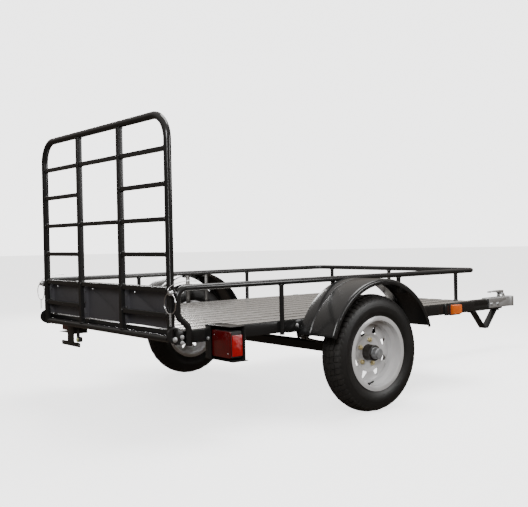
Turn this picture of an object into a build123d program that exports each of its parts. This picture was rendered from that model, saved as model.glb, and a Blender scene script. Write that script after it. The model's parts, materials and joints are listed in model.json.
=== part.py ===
"""Small open utility trailer with a fold-down ramp gate, millimetres, +Z up.

X runs to the right, Y runs forward to the coupler and Z runs up from the ground.
The origin is on the ground, on the centreline, half-way along the trailer.
Every place along Y is written as a distance forward of the gate's plane (gate_y).
"""
from build123d import *
from math import asin, cos, degrees, hypot, radians, sin
import os

os.makedirs("parts", exist_ok=True)

# ---------------------------------------------------------------- driving sizes
# Deck frame
frame_half_w = 606.0          # centreline to the outer face of the side rails
frame_len = 1936.0            # gate plane to the front face of the frame
frame_bottom_z = 379.0
frame_depth = 52.0
angle_leg = 38.0              # inward leg of the side and front angles
angle_wall = 4.0
gate_swing_clearance = 1.8    # between the gate's turning foot and the rear beam
rear_beam_size = 50.0
rear_beam_wall = 3.0
rear_beam_corner_r = 4.0
cross_tube_w = 40.0
cross_tube_h = 25.0
cross_tube_wall = 2.0
cross_tube_corner_r = 3.0
cross_tube_count = 4
deck_gap = 1.0                # clearance all round the planks

# Deck planks, hat sections of sheet steel
plank_count = 12
plank_flat = 5.5              # flat foot beside each slope
plank_wall = 1.8
plank_slope = 6.0
plank_joint = 1.2             # gap between two planks
deck_proud = 2.0              # deck top above the frame's top edge

# Tongue and its stand
tongue_w = 50.0
tongue_h = 73.0
tongue_wall = 4.5
tongue_corner_r = 7.0
tongue_bottom_z = 286.0
tongue_under = 846.0          # tongue behind the frame's front face
tongue_reach = 1104.0         # tongue ahead of it
stand_bar_w = 50.0
stand_bar_t = 10.0
stand_foot_z = 163.0
stand_back = 178.0            # behind the tongue's front end
stand_half_span = 116.0
stand_foot_len = 30.0

# Coupler for a 50.8 mm ball
ball_r = 25.4
ball_clearance = 0.5
ball_ahead = 106.0            # ahead of the tongue's front end
ball_centre_z = 322.0
coupler_lap = 154.0           # coupler over the tongue
coupler_wall = 5.0
coupler_fit = 0.3             # gap between coupler and tongue
coupler_bottom_z = 298.0
coupler_nose_r = 39.0
coupler_top_t = 6.0
coupler_top_fillet = 5.0
coupler_overlap = 12.0        # clear length ahead of the tongue's end
lever_ahead = 22.0            # pivot ahead of the tongue's front end
lever_pivot_z = 385.0
lever_len = 132.0             # pivot back to the tip
lever_half_w = 16.0
lever_t = 4.0
lever_pin_r = 5.0
lever_boss_wall = 6.0
lever_crown = 26.0            # lever's top above its pivot
lever_tip_top = 22.0
lever_tip_depth = 5.0
lever_knee = 30.0             # pivot back to the bend in the lever
lever_belly = 12.0            # lever's underside above its pivot
lever_cheek = 4.0             # cheeks below the pivot
lever_ear_gap = 1.0
lever_ear_rise = 6.0
lever_ear_half = 9.0
lever_ear_foot = (16.0, 24.0)  # ear's foot, rearward and forward of the pivot
pin_end_reach = 2.0           # pin ends proud of their outer faces
jaw_behind = 54.0             # jaw's pivot behind the ball's centre
jaw_pivot_z = 350.0
jaw_pin_r = 4.0
jaw_half_w = 14.0
jaw_gap = 2.0                 # each side of the jaw
jaw_heel = 9.0
jaw_toe = 8.0
jaw_rise = 6.0
jaw_lip = 3.0
jaw_hook = 5.0
jaw_hook_drop = 17.0
jaw_back = 12.0
jaw_drop = 20.0
jaw_heel_rise = 4.0
pin_running = 0.06            # radial clearance of every turning pin
coupler_bolt_r = 6.0
coupler_nut_scale = 1.8       # nut's corner radius over the bolt's
coupler_bolt_backs = (124.0, 54.0)  # behind the tongue's front end
bolt_clearance = 0.3

# Guard rail
rail_r = 12.7
rail_wall = 2.0
rail_z = 603.0
rail_gap = 0.3                # rail feet and posts to the frame's side
rail_front_inset = 6.0        # behind the frame's front face
rail_rear = 12.0              # upper part of the rear leg
rail_foot = 62.0              # lower part of the rear leg
rail_foot_bottom_z = 372.0
rail_knee_high_z = 492.0
rail_knee_low_z = 447.0
rail_corner_r = 58.0
rail_rear_r = 40.0
rail_knee_r = 32.0
post_r = 10.5
post_wall = 2.0
side_post_places = (549.0, 1309.0)
front_post_side = 111.0       # inward of the frame's side
front_post_inset = 10.0       # behind the front rail's centreline
latch_z = 585.0

# Gate
hoop_r = 15.9
hoop_wall = 2.0
hoop_inset = 19.0             # tube's centreline inward of the frame's side
gate_top_z = 1299.0
hoop_corner_r = 105.0
hinge_z = 400.0
hinge_tube_r = 14.0
hinge_tube_wall = 2.5
hinge_plug_gap = 6.0          # solid end plug inboard of each hinge pin
rung_size = 19.0
rung_wall = 1.5
rung_corner_r = 2.0
rung_pitch = 140.6
panel_rung_z = 596.0
mid_rung_z = 494.0
upright_size = 24.0
upright_wall = 1.5
upright_corner_r = 2.5
upright_x = 197.0
panel_t = 1.5
panel_front = 29.0            # front face of the panels, forward of the gate plane
panel_flange = 24.0
panel_bottom_z = 435.0
panel_side_gap = 0.5
panel_hole_r = 3.0
panel_hole_drop = 22.0        # below the rung that the panel hangs from
panel_hole_inset = 45.0
panel_notch_gap = 1.0

# Hinge ears and pins
ear_t = 6.0
ear_r = 33.0
ear_centre_z = 418.0
ear_tail = 46.0
ear_bolt_place = 35.0
ear_bolt_z = (407.0, 384.0)
ear_slot_rise = 16.0          # slot's top above the ear's centre
hinge_pin_r = 6.35
hinge_pin_clearance = 0.4
hinge_pin_reach = 10.0        # pin beyond the ear
hinge_pin_depth = 45.0        # pin inside the gate
hinge_washer_t = 3.0
hinge_washer_w = 4.5

# Latch pins and their pull rings
latch_pin_r = 4.75
latch_hole_clearance = 0.5
latch_rise = 5.0              # slot above the pin, which lets the pin leave as the gate opens
latch_front_reach = 15.0
latch_head_r = 8.5
latch_head_len = 16.0
latch_head_gap = 0.8
latch_tip_chamfer = 1.5
ring_inset = 5.0              # pin head's rear face to the ring
lug_t = 5.0
lug_gap = 4.8
lug_half_h = 14.0
lug_root = 3.0                # lug inside the gate's upright
lug_edge = 10.0               # lug beyond its hole
lug_corner_r = 3.0
ring_wire_r = 1.8
ring_r = 41.0
ring_hole_clearance = 1.4

# Axle, springs and wheels
axle_place = 953.0
axle_z = 266.5
axle_size = 45.0
axle_wall = 5.0
axle_corner_r = 6.0
axle_end_gap = 99.0           # beam's end inward of the wheel's centre plane
wheel_gap = 118.0             # fender's inner edge to the wheel's centre plane
spindle_r = 14.0
spindle_sleeve = 4.0          # welded sleeve's wall round each spindle
sleeve_inboard = 60.0
sleeve_len = 75.0
spindle_reach = 32.0          # beyond the wheel's centre plane
spring_inset = 26.0           # inward of the frame's side
spring_w = 44.0
spring_leaf_t = 7.0
second_leaf_share = 0.62      # second leaf's length over the main leaf's
second_leaf_camber = 15.0
spring_half_span = 250.0
spring_eye_z = 352.0
spring_eye_r = 12.0
spring_bolt_r = 7.0
spring_nut_scale = 1.6
spring_nut_t = 5.0
spring_nut_gap = 0.1
ubolt_r = 5.0
ubolt_bend_r = 10.0
ubolt_side_gap = 1.0          # to the spring's edge
ubolt_axle_gap = 1.5
ubolt_crown_gap = 3.0         # above the spring's leaves
ubolt_tail = 12.0             # below the tie plate
ubolt_nut_r = 8.5
ubolt_nut_t = 8.0
ubolt_nut_gap = 0.2
tie_plate_margin = 10.0
tyre_r = 266.5
tyre_half_w = 61.0
tyre_shoulder_r = 250.0
tyre_wide_r = 208.0
tyre_wall = 9.0
tyre_crown_wall = 12.6
tyre_flank_rise = 3.0         # flank starts above the rim's flange
tyre_edge_inset = 9.0         # tread's edge inside the widest place
bead_taper = 1.0
bead_r = 153.2
bead_half_w = 50.4
rim_half_w = 51.0
rim_flange_r = 169.0
rim_seat_r = 152.4
rim_well_r = 134.0
rim_wall = 3.5
rim_seat_drop = 1.0
rim_rear_slope = (22.0, 14.0)  # well's rear side, from the centre plane
rim_front_slope = (24.0, 14.0)
rim_slope_shift = 2.0         # slopes' inner faces against their outer ones
disc_fit = 0.5                # disc into the rim's well
disc_hub_face = -16.0         # disc mounting face, outward of the wheel's centre plane
disc_crown = -6.0
disc_wall = 4.0
disc_hub_r = 72.0
disc_crown_rise = 13.0        # crown's radius beyond the hub's flat
disc_rim_step = 2.0
disc_bore_gap = 1.0
window_cut = 60.0
window_tip_share = 1 / 6      # half width of a window's outer edge
window_count = 8
window_r = 104.0
window_h = 32.0
window_w = 31.0
window_angle = 25.0
lug_count = 5
lug_circle_r = 57.15
lug_angle = 80.0
lug_flats = 19.0
lug_nut_len = 13.0
lug_stud_r = 6.2
lug_rim_hole_r = 6.8
lug_hub_hole_r = 6.3
lug_taper = 4.0
hub_flange_r = 68.0
hub_flange_t = 10.0
hub_barrel_r = 36.0
hub_nose_len = 43.0
hub_tail_len = 38.0
hub_shoulder = 4.0            # bearing's shoulder in the hub
bearing_r = 25.0
bearing_w = 16.0
cap_r = 25.0
cap_len = 29.0
cap_depth = 6.0
cap_wall = 1.5
cap_fillet = 5.0
cap_rim_w = 2.0
cap_rim_t = 4.0
valve_angle = -105.0
valve_r = 141.0
valve_inset = 25.0            # outward of the wheel's centre plane
valve_lean = (0.85, 0.5)      # outward and inward shares of the stem's direction
valve_foot_r = 7.0
valve_foot_t = 7.0
valve_foot_taper = 18.0
valve_body_r = 3.6
valve_len = 30.0

# Fenders
fender_r = 338.0
fender_t = 2.0
fender_rail_gap = 4.3         # guard rail to the fender's inner edge
fender_w = 214.0
fender_end_z = 369.0
fender_lip = 24.0
fender_edge = 12.0
fender_bead_inset = 64.0
fender_bead_w = 9.0
fender_bead_d = 4.5
fender_bead_side = 0.35       # sloped share of the bead's width on each side
brace_places = (-85.0, 45.0)  # along Y from the axle
brace_w = 26.0
brace_t = 4.0
brace_bottom_z = 386.0
brace_pad_h = 8.0             # pad between a strap and the fender's underside
pad_w = 14.0
fender_fit = 0.4
foot_len = 24.0
foot_h = 31.0
foot_z = 372.5
foot_inset = 39.0             # fender's lower end to the foot's centre

# Lamps and the licence plate bracket
lamp_stand_off = 39.0         # outward of the frame's side
lamp_w = 127.0
lamp_rear = 156.0
lamp_depth = 58.0
lamp_bottom_z = 324.0
lamp_h = 106.0
lamp_corner_r = 6.0
lamp_hood_proud = 3.0         # hood beyond the lamp's outer face
lamp_tray_proud = 16.0        # tray beyond the hood
lamp_lens_t = 9.0
lamp_gap = 0.4
lamp_bracket_t = 3.0
lamp_bracket_rear = 150.0
lamp_bracket_front = 226.0
lamp_bracket_top_z = 450.0
lamp_bracket_bottom_z = 312.0
side_lens_h = 84.0
side_lens_w = 50.0
side_lens_t = 6.0
side_lens_drop = 4.0
side_lens_corner_r = 3.0
plate_bracket_side = 206.0    # inward of the frame's side
plate_bracket_w = 205.0
plate_bracket_place = 34.0
plate_bar_h = 22.0
plate_bar_z = 292.0
plate_hole_spacing = 177.8
plate_hole_r = 3.5
plate_bracket_t = 3.0
plate_corner_r = 8.0
plate_neck_w = 70.0
plate_flange = 15.0           # flange beyond the neck on each side
plate_flange_len = 40.0
plate_flange_shift = 12.0     # flange's centre ahead of the neck
plate_lamp_r = 13.0
plate_lamp_len = 22.0
plate_lamp_gap = 18.0         # neck to the lamp
lamp_arm_w = 30.0
lamp_arm_t = 4.0
lamp_arm_back = 12.0          # arm's centre to the side of the lamp
lamp_arm_shift = 14.0
marker_back = 176.0           # behind the frame's front face
marker_len = 80.0
marker_h = 54.0
marker_t = 20.0
marker_centre_z = 399.0
marker_bracket_len = 44.0
marker_bracket_t = 4.0
marker_clip_rise = 3.0
marker_clip_margin = 4.0
marker_plate_inset = 3.0
marker_corner_r = 5.0
marker_taper = 14.0

# Fasteners
frame_bolt_head_r = 10.0
frame_bolt_head_t = 5.0
fender_bolt_place = 645.0
ear_bolt_head_r = 8.5
bolt_head_taper = 25.0

# ---------------------------------------------------------------- worked-out places
tongue_rear = frame_len - tongue_under
tongue_front = frame_len + tongue_reach
stand_centre = tongue_front - stand_back
ball_centre = tongue_front + ball_ahead
coupler_rear = tongue_front - coupler_lap
lever_pivot = tongue_front + lever_ahead
lever_tip = lever_pivot - lever_len
jaw_pivot = ball_centre - jaw_behind
coupler_bolt_places = [tongue_front - back for back in coupler_bolt_backs]
rail_front = frame_len - rail_front_inset
marker_place = frame_len - marker_back
nose_reach = ball_centre + coupler_nose_r
gate_y = -(nose_reach - ear_r) / 2
frame_top_z = frame_bottom_z + frame_depth
deck_top_z = frame_top_z + deck_proud
tongue_top_z = tongue_bottom_z + tongue_h
rail_x = frame_half_w + rail_gap + rail_r
front_post_x = frame_half_w - front_post_side
hoop_half_w = frame_half_w - hoop_inset
spring_x = frame_half_w - spring_inset
fender_inner = rail_x + rail_r + fender_rail_gap
fender_outer = fender_inner + fender_w
fender_bead_x = fender_inner + fender_bead_inset
track_half = fender_inner + wheel_gap
axle_half_len = track_half - axle_end_gap
spindle_tip = track_half + spindle_reach
lamp_inner = frame_half_w + lamp_stand_off
lamp_outer = lamp_inner + lamp_w
plate_bracket_x = plate_bracket_side - frame_half_w
rear_beam_start = hypot(hoop_r, hinge_tube_r) + gate_swing_clearance
wheel_y = gate_y + axle_place
rear_beam_front = rear_beam_start + rear_beam_size
deck_rear = rear_beam_front + deck_gap
deck_front = frame_len - angle_wall - deck_gap
deck_half_w = frame_half_w - angle_wall - deck_gap
plank_pitch = 2 * deck_half_w / plank_count
plank_half_w = (plank_pitch - plank_joint) / 2
foot_half = plank_half_w - plank_flat
top_half = foot_half - plank_slope
cross_bottom_z = frame_bottom_z + angle_wall
cross_top_z = cross_bottom_z + cross_tube_h
rail_rear_surface = rail_rear - rail_r
rail_front_surface = rail_rear + rail_r
sides = (("left", -1), ("right", 1))


def at(place):
    """Y of a place given forward of the gate's plane."""
    return gate_y + place


def tube_section(width, height, wall, corner_r):
    """Draw a rounded rectangular tube's section at the current locations."""
    RectangleRounded(width, height, corner_r)
    RectangleRounded(width - 2 * wall, height - 2 * wall, corner_r / 2, mode=Mode.SUBTRACT)


# ---------------------------------------------------------------- deck frame
for side, s in sides:
    web_x = s * (frame_half_w - angle_wall / 2)
    leg_x = s * (frame_half_w - angle_leg / 2)
    rail_mid_y = at((rear_beam_front + frame_len) / 2)
    rail_len = frame_len - rear_beam_front
    with BuildPart() as side_rail:
        with Locations((web_x, rail_mid_y, frame_bottom_z + frame_depth / 2)):
            Box(angle_wall, rail_len, frame_depth)
        with Locations((leg_x, rail_mid_y, frame_bottom_z + angle_wall / 2)):
            Box(angle_leg, rail_len, angle_wall)
    side_rail.part.label = f"side_rail_{side}"
    export_step(side_rail.part, f"parts/side_rail_{side}.step")

with BuildPart() as front_rail:
    front_half = frame_half_w - angle_wall
    with BuildSketch(Plane.YZ):
        with BuildLine():
            Polyline(
                (at(frame_len), frame_bottom_z + angle_wall),
                (at(frame_len), frame_top_z),
                (at(frame_len) - angle_wall, frame_top_z),
                (at(frame_len) - angle_wall, frame_bottom_z + 2 * angle_wall),
                (at(frame_len) - angle_leg, frame_bottom_z + 2 * angle_wall),
                (at(frame_len) - angle_leg, frame_bottom_z + angle_wall),
                close=True,
            )
        make_face()
    extrude(amount=front_half, both=True)
front_rail.part.label = "front_rail"
export_step(front_rail.part, "parts/front_rail.step")

with BuildPart() as rear_beam:
    with BuildSketch(Plane.YZ):
        with Locations((at(rear_beam_start + rear_beam_size / 2), frame_bottom_z + frame_depth / 2)):
            tube_section(rear_beam_size, frame_depth, rear_beam_wall, rear_beam_corner_r)
    extrude(amount=frame_half_w, both=True)
rear_beam.part.label = "rear_beam"
export_step(rear_beam.part, "parts/rear_beam.step")

cross_span = frame_len - angle_leg - rear_beam_front - cross_tube_w
cross_step = cross_span / (cross_tube_count - 0.5)
with BuildPart() as cross_tubes:
    for index in range(cross_tube_count):
        cross_y = at(rear_beam_front + cross_tube_w / 2 + cross_step * (index + 0.25))
        with BuildSketch(Plane.YZ):
            with Locations((cross_y, cross_bottom_z + cross_tube_h / 2)):
                tube_section(cross_tube_w, cross_tube_h, cross_tube_wall, cross_tube_corner_r)
        extrude(amount=frame_half_w - angle_wall, both=True)
cross_tubes.part.label = "cross_tubes"
export_step(cross_tubes.part, "parts/cross_tubes.step")

plank_bottom_z = cross_top_z
with BuildPart() as deck_planks:
    for index in range(plank_count):
        centre_x = -deck_half_w + plank_pitch * (index + 0.5)
        with BuildSketch(Plane.XZ.offset(-at(deck_rear))):
            with BuildLine():
                Polyline(
                    (centre_x - plank_half_w, plank_bottom_z),
                    (centre_x - plank_half_w, plank_bottom_z + plank_wall),
                    (centre_x - foot_half, plank_bottom_z + plank_wall),
                    (centre_x - top_half, deck_top_z),
                    (centre_x + top_half, deck_top_z),
                    (centre_x + foot_half, plank_bottom_z + plank_wall),
                    (centre_x + plank_half_w, plank_bottom_z + plank_wall),
                    (centre_x + plank_half_w, plank_bottom_z),
                    (centre_x + foot_half - plank_wall, plank_bottom_z),
                    (centre_x + top_half - plank_wall, deck_top_z - plank_wall),
                    (centre_x - top_half + plank_wall, deck_top_z - plank_wall),
                    (centre_x - foot_half + plank_wall, plank_bottom_z),
                    close=True,
                )
            make_face()
        extrude(amount=-(deck_front - deck_rear))
deck_planks.part.label = "deck_planks"
export_step(deck_planks.part, "parts/deck_planks.step")

# ---------------------------------------------------------------- tongue
with BuildPart() as tongue_beam:
    with BuildSketch(Plane.XZ.offset(-at(tongue_rear))):
        with Locations((0, tongue_bottom_z + tongue_h / 2)):
            tube_section(tongue_w, tongue_h, tongue_wall, tongue_corner_r)
    extrude(amount=-(tongue_front - tongue_rear))
    with Locations(Plane.YZ):
        for place in coupler_bolt_places:
            with Locations((at(place), tongue_bottom_z + tongue_h / 2)):
                Cylinder(coupler_bolt_r + bolt_clearance, 2 * tongue_w, mode=Mode.SUBTRACT)
tongue_beam.part.label = "tongue_beam"
export_step(tongue_beam.part, "parts/tongue_beam.step")

# Saddles carry the frame on the tongue: one under a cross tube, one under the front rail.
saddle_len = 60.0
saddle_plate_t = 6.0
saddle_flare = 45.0
saddle_drop = 30.0
saddle_rear_place = rear_beam_front + cross_tube_w / 2 + cross_step * (cross_tube_count - 2 + 0.25)
saddle_front_inset = 12.0
saddle_front_place = frame_len - angle_leg / 2 - saddle_front_inset
with BuildPart() as tongue_saddles:
    for place, top_z in (
        (saddle_rear_place, cross_bottom_z),
        (saddle_front_place, frame_bottom_z + angle_wall),
    ):
        outline_half = tongue_w / 2 + saddle_plate_t
        with BuildSketch(Plane.XZ.offset(-at(place - saddle_len / 2))):
            with BuildLine():
                Polyline(
                    (-outline_half - saddle_flare, top_z),
                    (outline_half + saddle_flare, top_z),
                    (outline_half + saddle_flare, top_z - saddle_plate_t),
                    (outline_half, top_z - saddle_plate_t),
                    (outline_half, tongue_top_z - saddle_drop),
                    (tongue_w / 2, tongue_top_z - saddle_drop),
                    (tongue_w / 2, tongue_top_z),
                    (-tongue_w / 2, tongue_top_z),
                    (-tongue_w / 2, tongue_top_z - saddle_drop),
                    (-outline_half, tongue_top_z - saddle_drop),
                    (-outline_half, top_z - saddle_plate_t),
                    (-outline_half - saddle_flare, top_z - saddle_plate_t),
                    close=True,
                )
            make_face()
        extrude(amount=-saddle_len)
tongue_saddles.part.label = "tongue_saddles"
export_step(tongue_saddles.part, "parts/tongue_saddles.step")

# One flat bar bent into a V, with a flat foot and two pads against the tongue.
stand_pad = 26.0
with BuildPart() as tongue_stand:
    with BuildSketch(Plane.YZ):
        with BuildLine():
            Polyline(
                (at(stand_centre - stand_half_span - stand_pad), tongue_bottom_z - stand_bar_t / 2),
                (at(stand_centre - stand_half_span), tongue_bottom_z - stand_bar_t / 2),
                (at(stand_centre - stand_foot_len / 2), stand_foot_z + stand_bar_t / 2),
                (at(stand_centre + stand_foot_len / 2), stand_foot_z + stand_bar_t / 2),
                (at(stand_centre + stand_half_span), tongue_bottom_z - stand_bar_t / 2),
                (at(stand_centre + stand_half_span + stand_pad), tongue_bottom_z - stand_bar_t / 2),
            )
            offset(amount=stand_bar_t / 2, side=Side.BOTH, kind=Kind.INTERSECTION)
        make_face()
    extrude(amount=stand_bar_w / 2, both=True)
tongue_stand.part.label = "tongue_stand"
export_step(tongue_stand.part, "parts/tongue_stand.step")

# ---------------------------------------------------------------- coupler
coupler_inner = tongue_w / 2 + coupler_fit
coupler_half = coupler_inner + coupler_wall
coupler_top_z = tongue_top_z + coupler_fit + coupler_top_t
ear_hole_r = lever_pin_r + pin_running
lever_ear_in = lever_half_w + lever_ear_gap
with BuildPart() as coupler_body:
    with BuildSketch(Plane.XY.offset(coupler_bottom_z)):
        with Locations((0, at((coupler_rear + ball_centre) / 2))):
            Rectangle(2 * coupler_half, ball_centre - coupler_rear)
        with Locations((0, at(ball_centre))):
            Circle(coupler_nose_r)
    extrude(amount=coupler_top_z - coupler_bottom_z)
    top_edges = coupler_body.edges().group_by(Axis.Z)[-1]
    fillet(top_edges, radius=coupler_top_fillet)
    with BuildSketch(Plane.XZ.offset(-at(coupler_rear))):
        with Locations((0, coupler_bottom_z + (coupler_top_z - coupler_top_t - coupler_bottom_z) / 2)):
            Rectangle(2 * coupler_inner, coupler_top_z - coupler_top_t - coupler_bottom_z)
    extrude(amount=-(tongue_front + coupler_overlap - coupler_rear), mode=Mode.SUBTRACT)
    with BuildSketch(Plane.XY.offset(coupler_bottom_z)):
        with Locations((0, at((tongue_front + ball_centre) / 2))):
            Rectangle(2 * (jaw_half_w + jaw_gap), ball_centre - tongue_front)
    extrude(amount=coupler_top_z - coupler_top_t - coupler_bottom_z, mode=Mode.SUBTRACT)
    with Locations((0, at(ball_centre), ball_centre_z)):
        Sphere(ball_r + ball_clearance, mode=Mode.SUBTRACT)
    with BuildSketch(Plane.XY.offset(coupler_bottom_z)):
        with Locations((0, at(ball_centre))):
            Circle(ball_r + ball_clearance)
    extrude(amount=ball_centre_z - coupler_bottom_z, mode=Mode.SUBTRACT)
    for s in (-1, 1):
        with BuildSketch(Plane.YZ.offset(s * (lever_ear_in + coupler_wall / 2))):
            with BuildLine():
                Polyline(
                    (at(lever_pivot) - lever_ear_foot[0], coupler_top_z - lever_ear_gap),
                    (at(lever_pivot) - lever_ear_half, lever_pivot_z + lever_ear_rise),
                    (at(lever_pivot) + lever_ear_half, lever_pivot_z + lever_ear_rise),
                    (at(lever_pivot) + lever_ear_foot[1], coupler_top_z - lever_ear_gap),
                    close=True,
                )
            make_face()
        extrude(amount=coupler_wall / 2, both=True)
    with Locations(Plane.YZ):
        with Locations((at(lever_pivot), lever_pivot_z)):
            Cylinder(ear_hole_r, 4 * coupler_half, mode=Mode.SUBTRACT)
        with Locations((at(jaw_pivot), jaw_pivot_z)):
            Cylinder(jaw_pin_r + pin_running, 4 * coupler_half, mode=Mode.SUBTRACT)
        for place in coupler_bolt_places:
            with Locations((at(place), tongue_bottom_z + tongue_h / 2)):
                Cylinder(coupler_bolt_r + bolt_clearance, 4 * coupler_half, mode=Mode.SUBTRACT)
coupler_body.part.label = "coupler_body"
export_step(coupler_body.part, "parts/coupler_body.step")

with BuildPart() as coupler_bolts:
    with Locations(Plane.YZ):
        for place in coupler_bolt_places:
            with Locations((at(place), tongue_bottom_z + tongue_h / 2)):
                Cylinder(coupler_bolt_r, 2 * coupler_half)
    for s in (-1, 1):
        for place in coupler_bolt_places:
            with BuildSketch(Plane.YZ.offset(s * (coupler_half + coupler_bolt_r / 2))):
                with Locations((at(place), tongue_bottom_z + tongue_h / 2)):
                    RegularPolygon(coupler_nut_scale * coupler_bolt_r, 6)
            extrude(amount=coupler_bolt_r / 2, both=True)
    lever_pin_half = lever_ear_in + coupler_wall
    with Locations(Plane.YZ):
        with Locations((at(lever_pivot), lever_pivot_z)):
            Cylinder(lever_pin_r, 2 * (lever_pin_half + pin_end_reach))
        with Locations((at(jaw_pivot), jaw_pivot_z)):
            Cylinder(jaw_pin_r, 2 * (coupler_half + pin_end_reach))
coupler_bolts.part.label = "coupler_bolts"
export_step(coupler_bolts.part, "parts/coupler_bolts.step")

lever_boss_r = lever_pin_r + lever_boss_wall
with BuildPart() as coupler_lever:
    with BuildSketch(Plane.YZ):
        with BuildLine():
            Polyline(
                (at(lever_tip), lever_pivot_z + lever_tip_top - lever_tip_depth),
                (at(lever_tip), lever_pivot_z + lever_tip_top),
                (at(lever_pivot) - lever_knee, lever_pivot_z + lever_crown),
                (at(lever_pivot) + lever_boss_r, lever_pivot_z + lever_crown),
                (at(lever_pivot) + lever_boss_r, lever_pivot_z - lever_cheek),
                (at(lever_pivot), lever_pivot_z - lever_boss_r),
                (at(lever_pivot) - lever_boss_r, lever_pivot_z - lever_cheek),
                (at(lever_pivot) - lever_knee - lever_t, lever_pivot_z + lever_belly),
                close=True,
            )
        make_face()
    extrude(amount=lever_half_w, both=True)
    with BuildSketch(Plane.YZ):
        with BuildLine():
            Polyline(
                (at(lever_tip) + lever_t, lever_pivot_z - lever_boss_r),
                (at(lever_tip) + lever_t, lever_pivot_z + lever_tip_top - lever_t),
                (at(lever_pivot) - lever_knee, lever_pivot_z + lever_crown - lever_t),
                (at(lever_pivot) + lever_boss_r - lever_t, lever_pivot_z + lever_crown - lever_t),
                (at(lever_pivot) + lever_boss_r - lever_t, lever_pivot_z - lever_boss_r),
                close=True,
            )
        make_face()
    extrude(amount=lever_half_w - lever_t, both=True, mode=Mode.SUBTRACT)
    with Locations(Plane.YZ):
        with Locations((at(lever_pivot), lever_pivot_z)):
            Cylinder(lever_pin_r + pin_running, 4 * lever_half_w, mode=Mode.SUBTRACT)
coupler_lever.part.label = "coupler_lever"
export_step(coupler_lever.part, "parts/coupler_lever.step")

with BuildPart() as coupler_jaw:
    with BuildSketch(Plane.YZ):
        with BuildLine():
            Polyline(
                (at(jaw_pivot) - jaw_heel, jaw_pivot_z + jaw_rise),
                (at(jaw_pivot) + jaw_toe, jaw_pivot_z + jaw_rise),
                (at(ball_centre) - ball_r - jaw_lip, ball_centre_z + jaw_rise),
                (at(ball_centre) - ball_r + jaw_hook, ball_centre_z - jaw_hook_drop),
                (at(jaw_pivot) + jaw_back, ball_centre_z - jaw_drop),
                (at(jaw_pivot) - jaw_heel, ball_centre_z + jaw_heel_rise),
                close=True,
            )
        make_face()
    extrude(amount=jaw_half_w, both=True)
    with Locations((0, at(ball_centre), ball_centre_z)):
        Sphere(ball_r + ball_clearance, mode=Mode.SUBTRACT)
    with Locations(Plane.YZ):
        with Locations((at(jaw_pivot), jaw_pivot_z)):
            Cylinder(jaw_pin_r + pin_running, 4 * jaw_half_w, mode=Mode.SUBTRACT)
coupler_jaw.part.label = "coupler_jaw"
export_step(coupler_jaw.part, "parts/coupler_jaw.step")

# ---------------------------------------------------------------- guard rail
latch_hole_r = latch_pin_r + latch_hole_clearance
with BuildPart() as guard_rail:
    with BuildLine() as rail_line:
        FilletPolyline(
            (0, at(rail_front), rail_z),
            (rail_x, at(rail_front), rail_z),
            (rail_x, at(rail_rear), rail_z),
            (rail_x, at(rail_rear), rail_knee_high_z),
            (rail_x, at(rail_foot), rail_knee_low_z),
            (rail_x, at(rail_foot), rail_foot_bottom_z),
            radius=[rail_corner_r, rail_rear_r, rail_knee_r, rail_knee_r],
        )
    with BuildSketch(Plane(origin=rail_line.line @ 0, z_dir=rail_line.line % 0)):
        Circle(rail_r)
        Circle(rail_r - rail_wall, mode=Mode.SUBTRACT)
    sweep(path=rail_line.line)
    # A slot through the rear leg and its bend takes the latch pin.
    with BuildSketch(Plane.XZ.offset(-at(rail_rear_surface - rail_gap))):
        with Locations((rail_x, latch_z + latch_rise / 2)):
            SlotCenterToCenter(latch_rise, 2 * latch_hole_r, rotation=90)
    extrude(amount=-(rail_rear_r + rail_r), mode=Mode.SUBTRACT)
    mirror(about=Plane.YZ)
guard_rail.part.label = "guard_rail"
export_step(guard_rail.part, "parts/guard_rail.step")

post_cope = 0.5
with BuildPart() as guard_posts:
    for place in side_post_places:
        for s in (-1, 1):
            with BuildSketch(Plane.XY.offset(rail_foot_bottom_z)):
                with Locations((s * (frame_half_w + rail_gap + post_r), at(place))):
                    Circle(post_r)
                    Circle(post_r - post_wall, mode=Mode.SUBTRACT)
            extrude(amount=rail_z - rail_r - post_cope - rail_foot_bottom_z)
    for x in (-front_post_x, 0, front_post_x):
        with BuildSketch(Plane.XY.offset(deck_top_z + rail_gap)):
            with Locations((x, at(rail_front - front_post_inset))):
                Circle(post_r)
                Circle(post_r - post_wall, mode=Mode.SUBTRACT)
        extrude(amount=rail_z - rail_r - post_cope - deck_top_z)
guard_posts.part.label = "guard_posts"
export_step(guard_posts.part, "parts/guard_posts.step")

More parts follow.
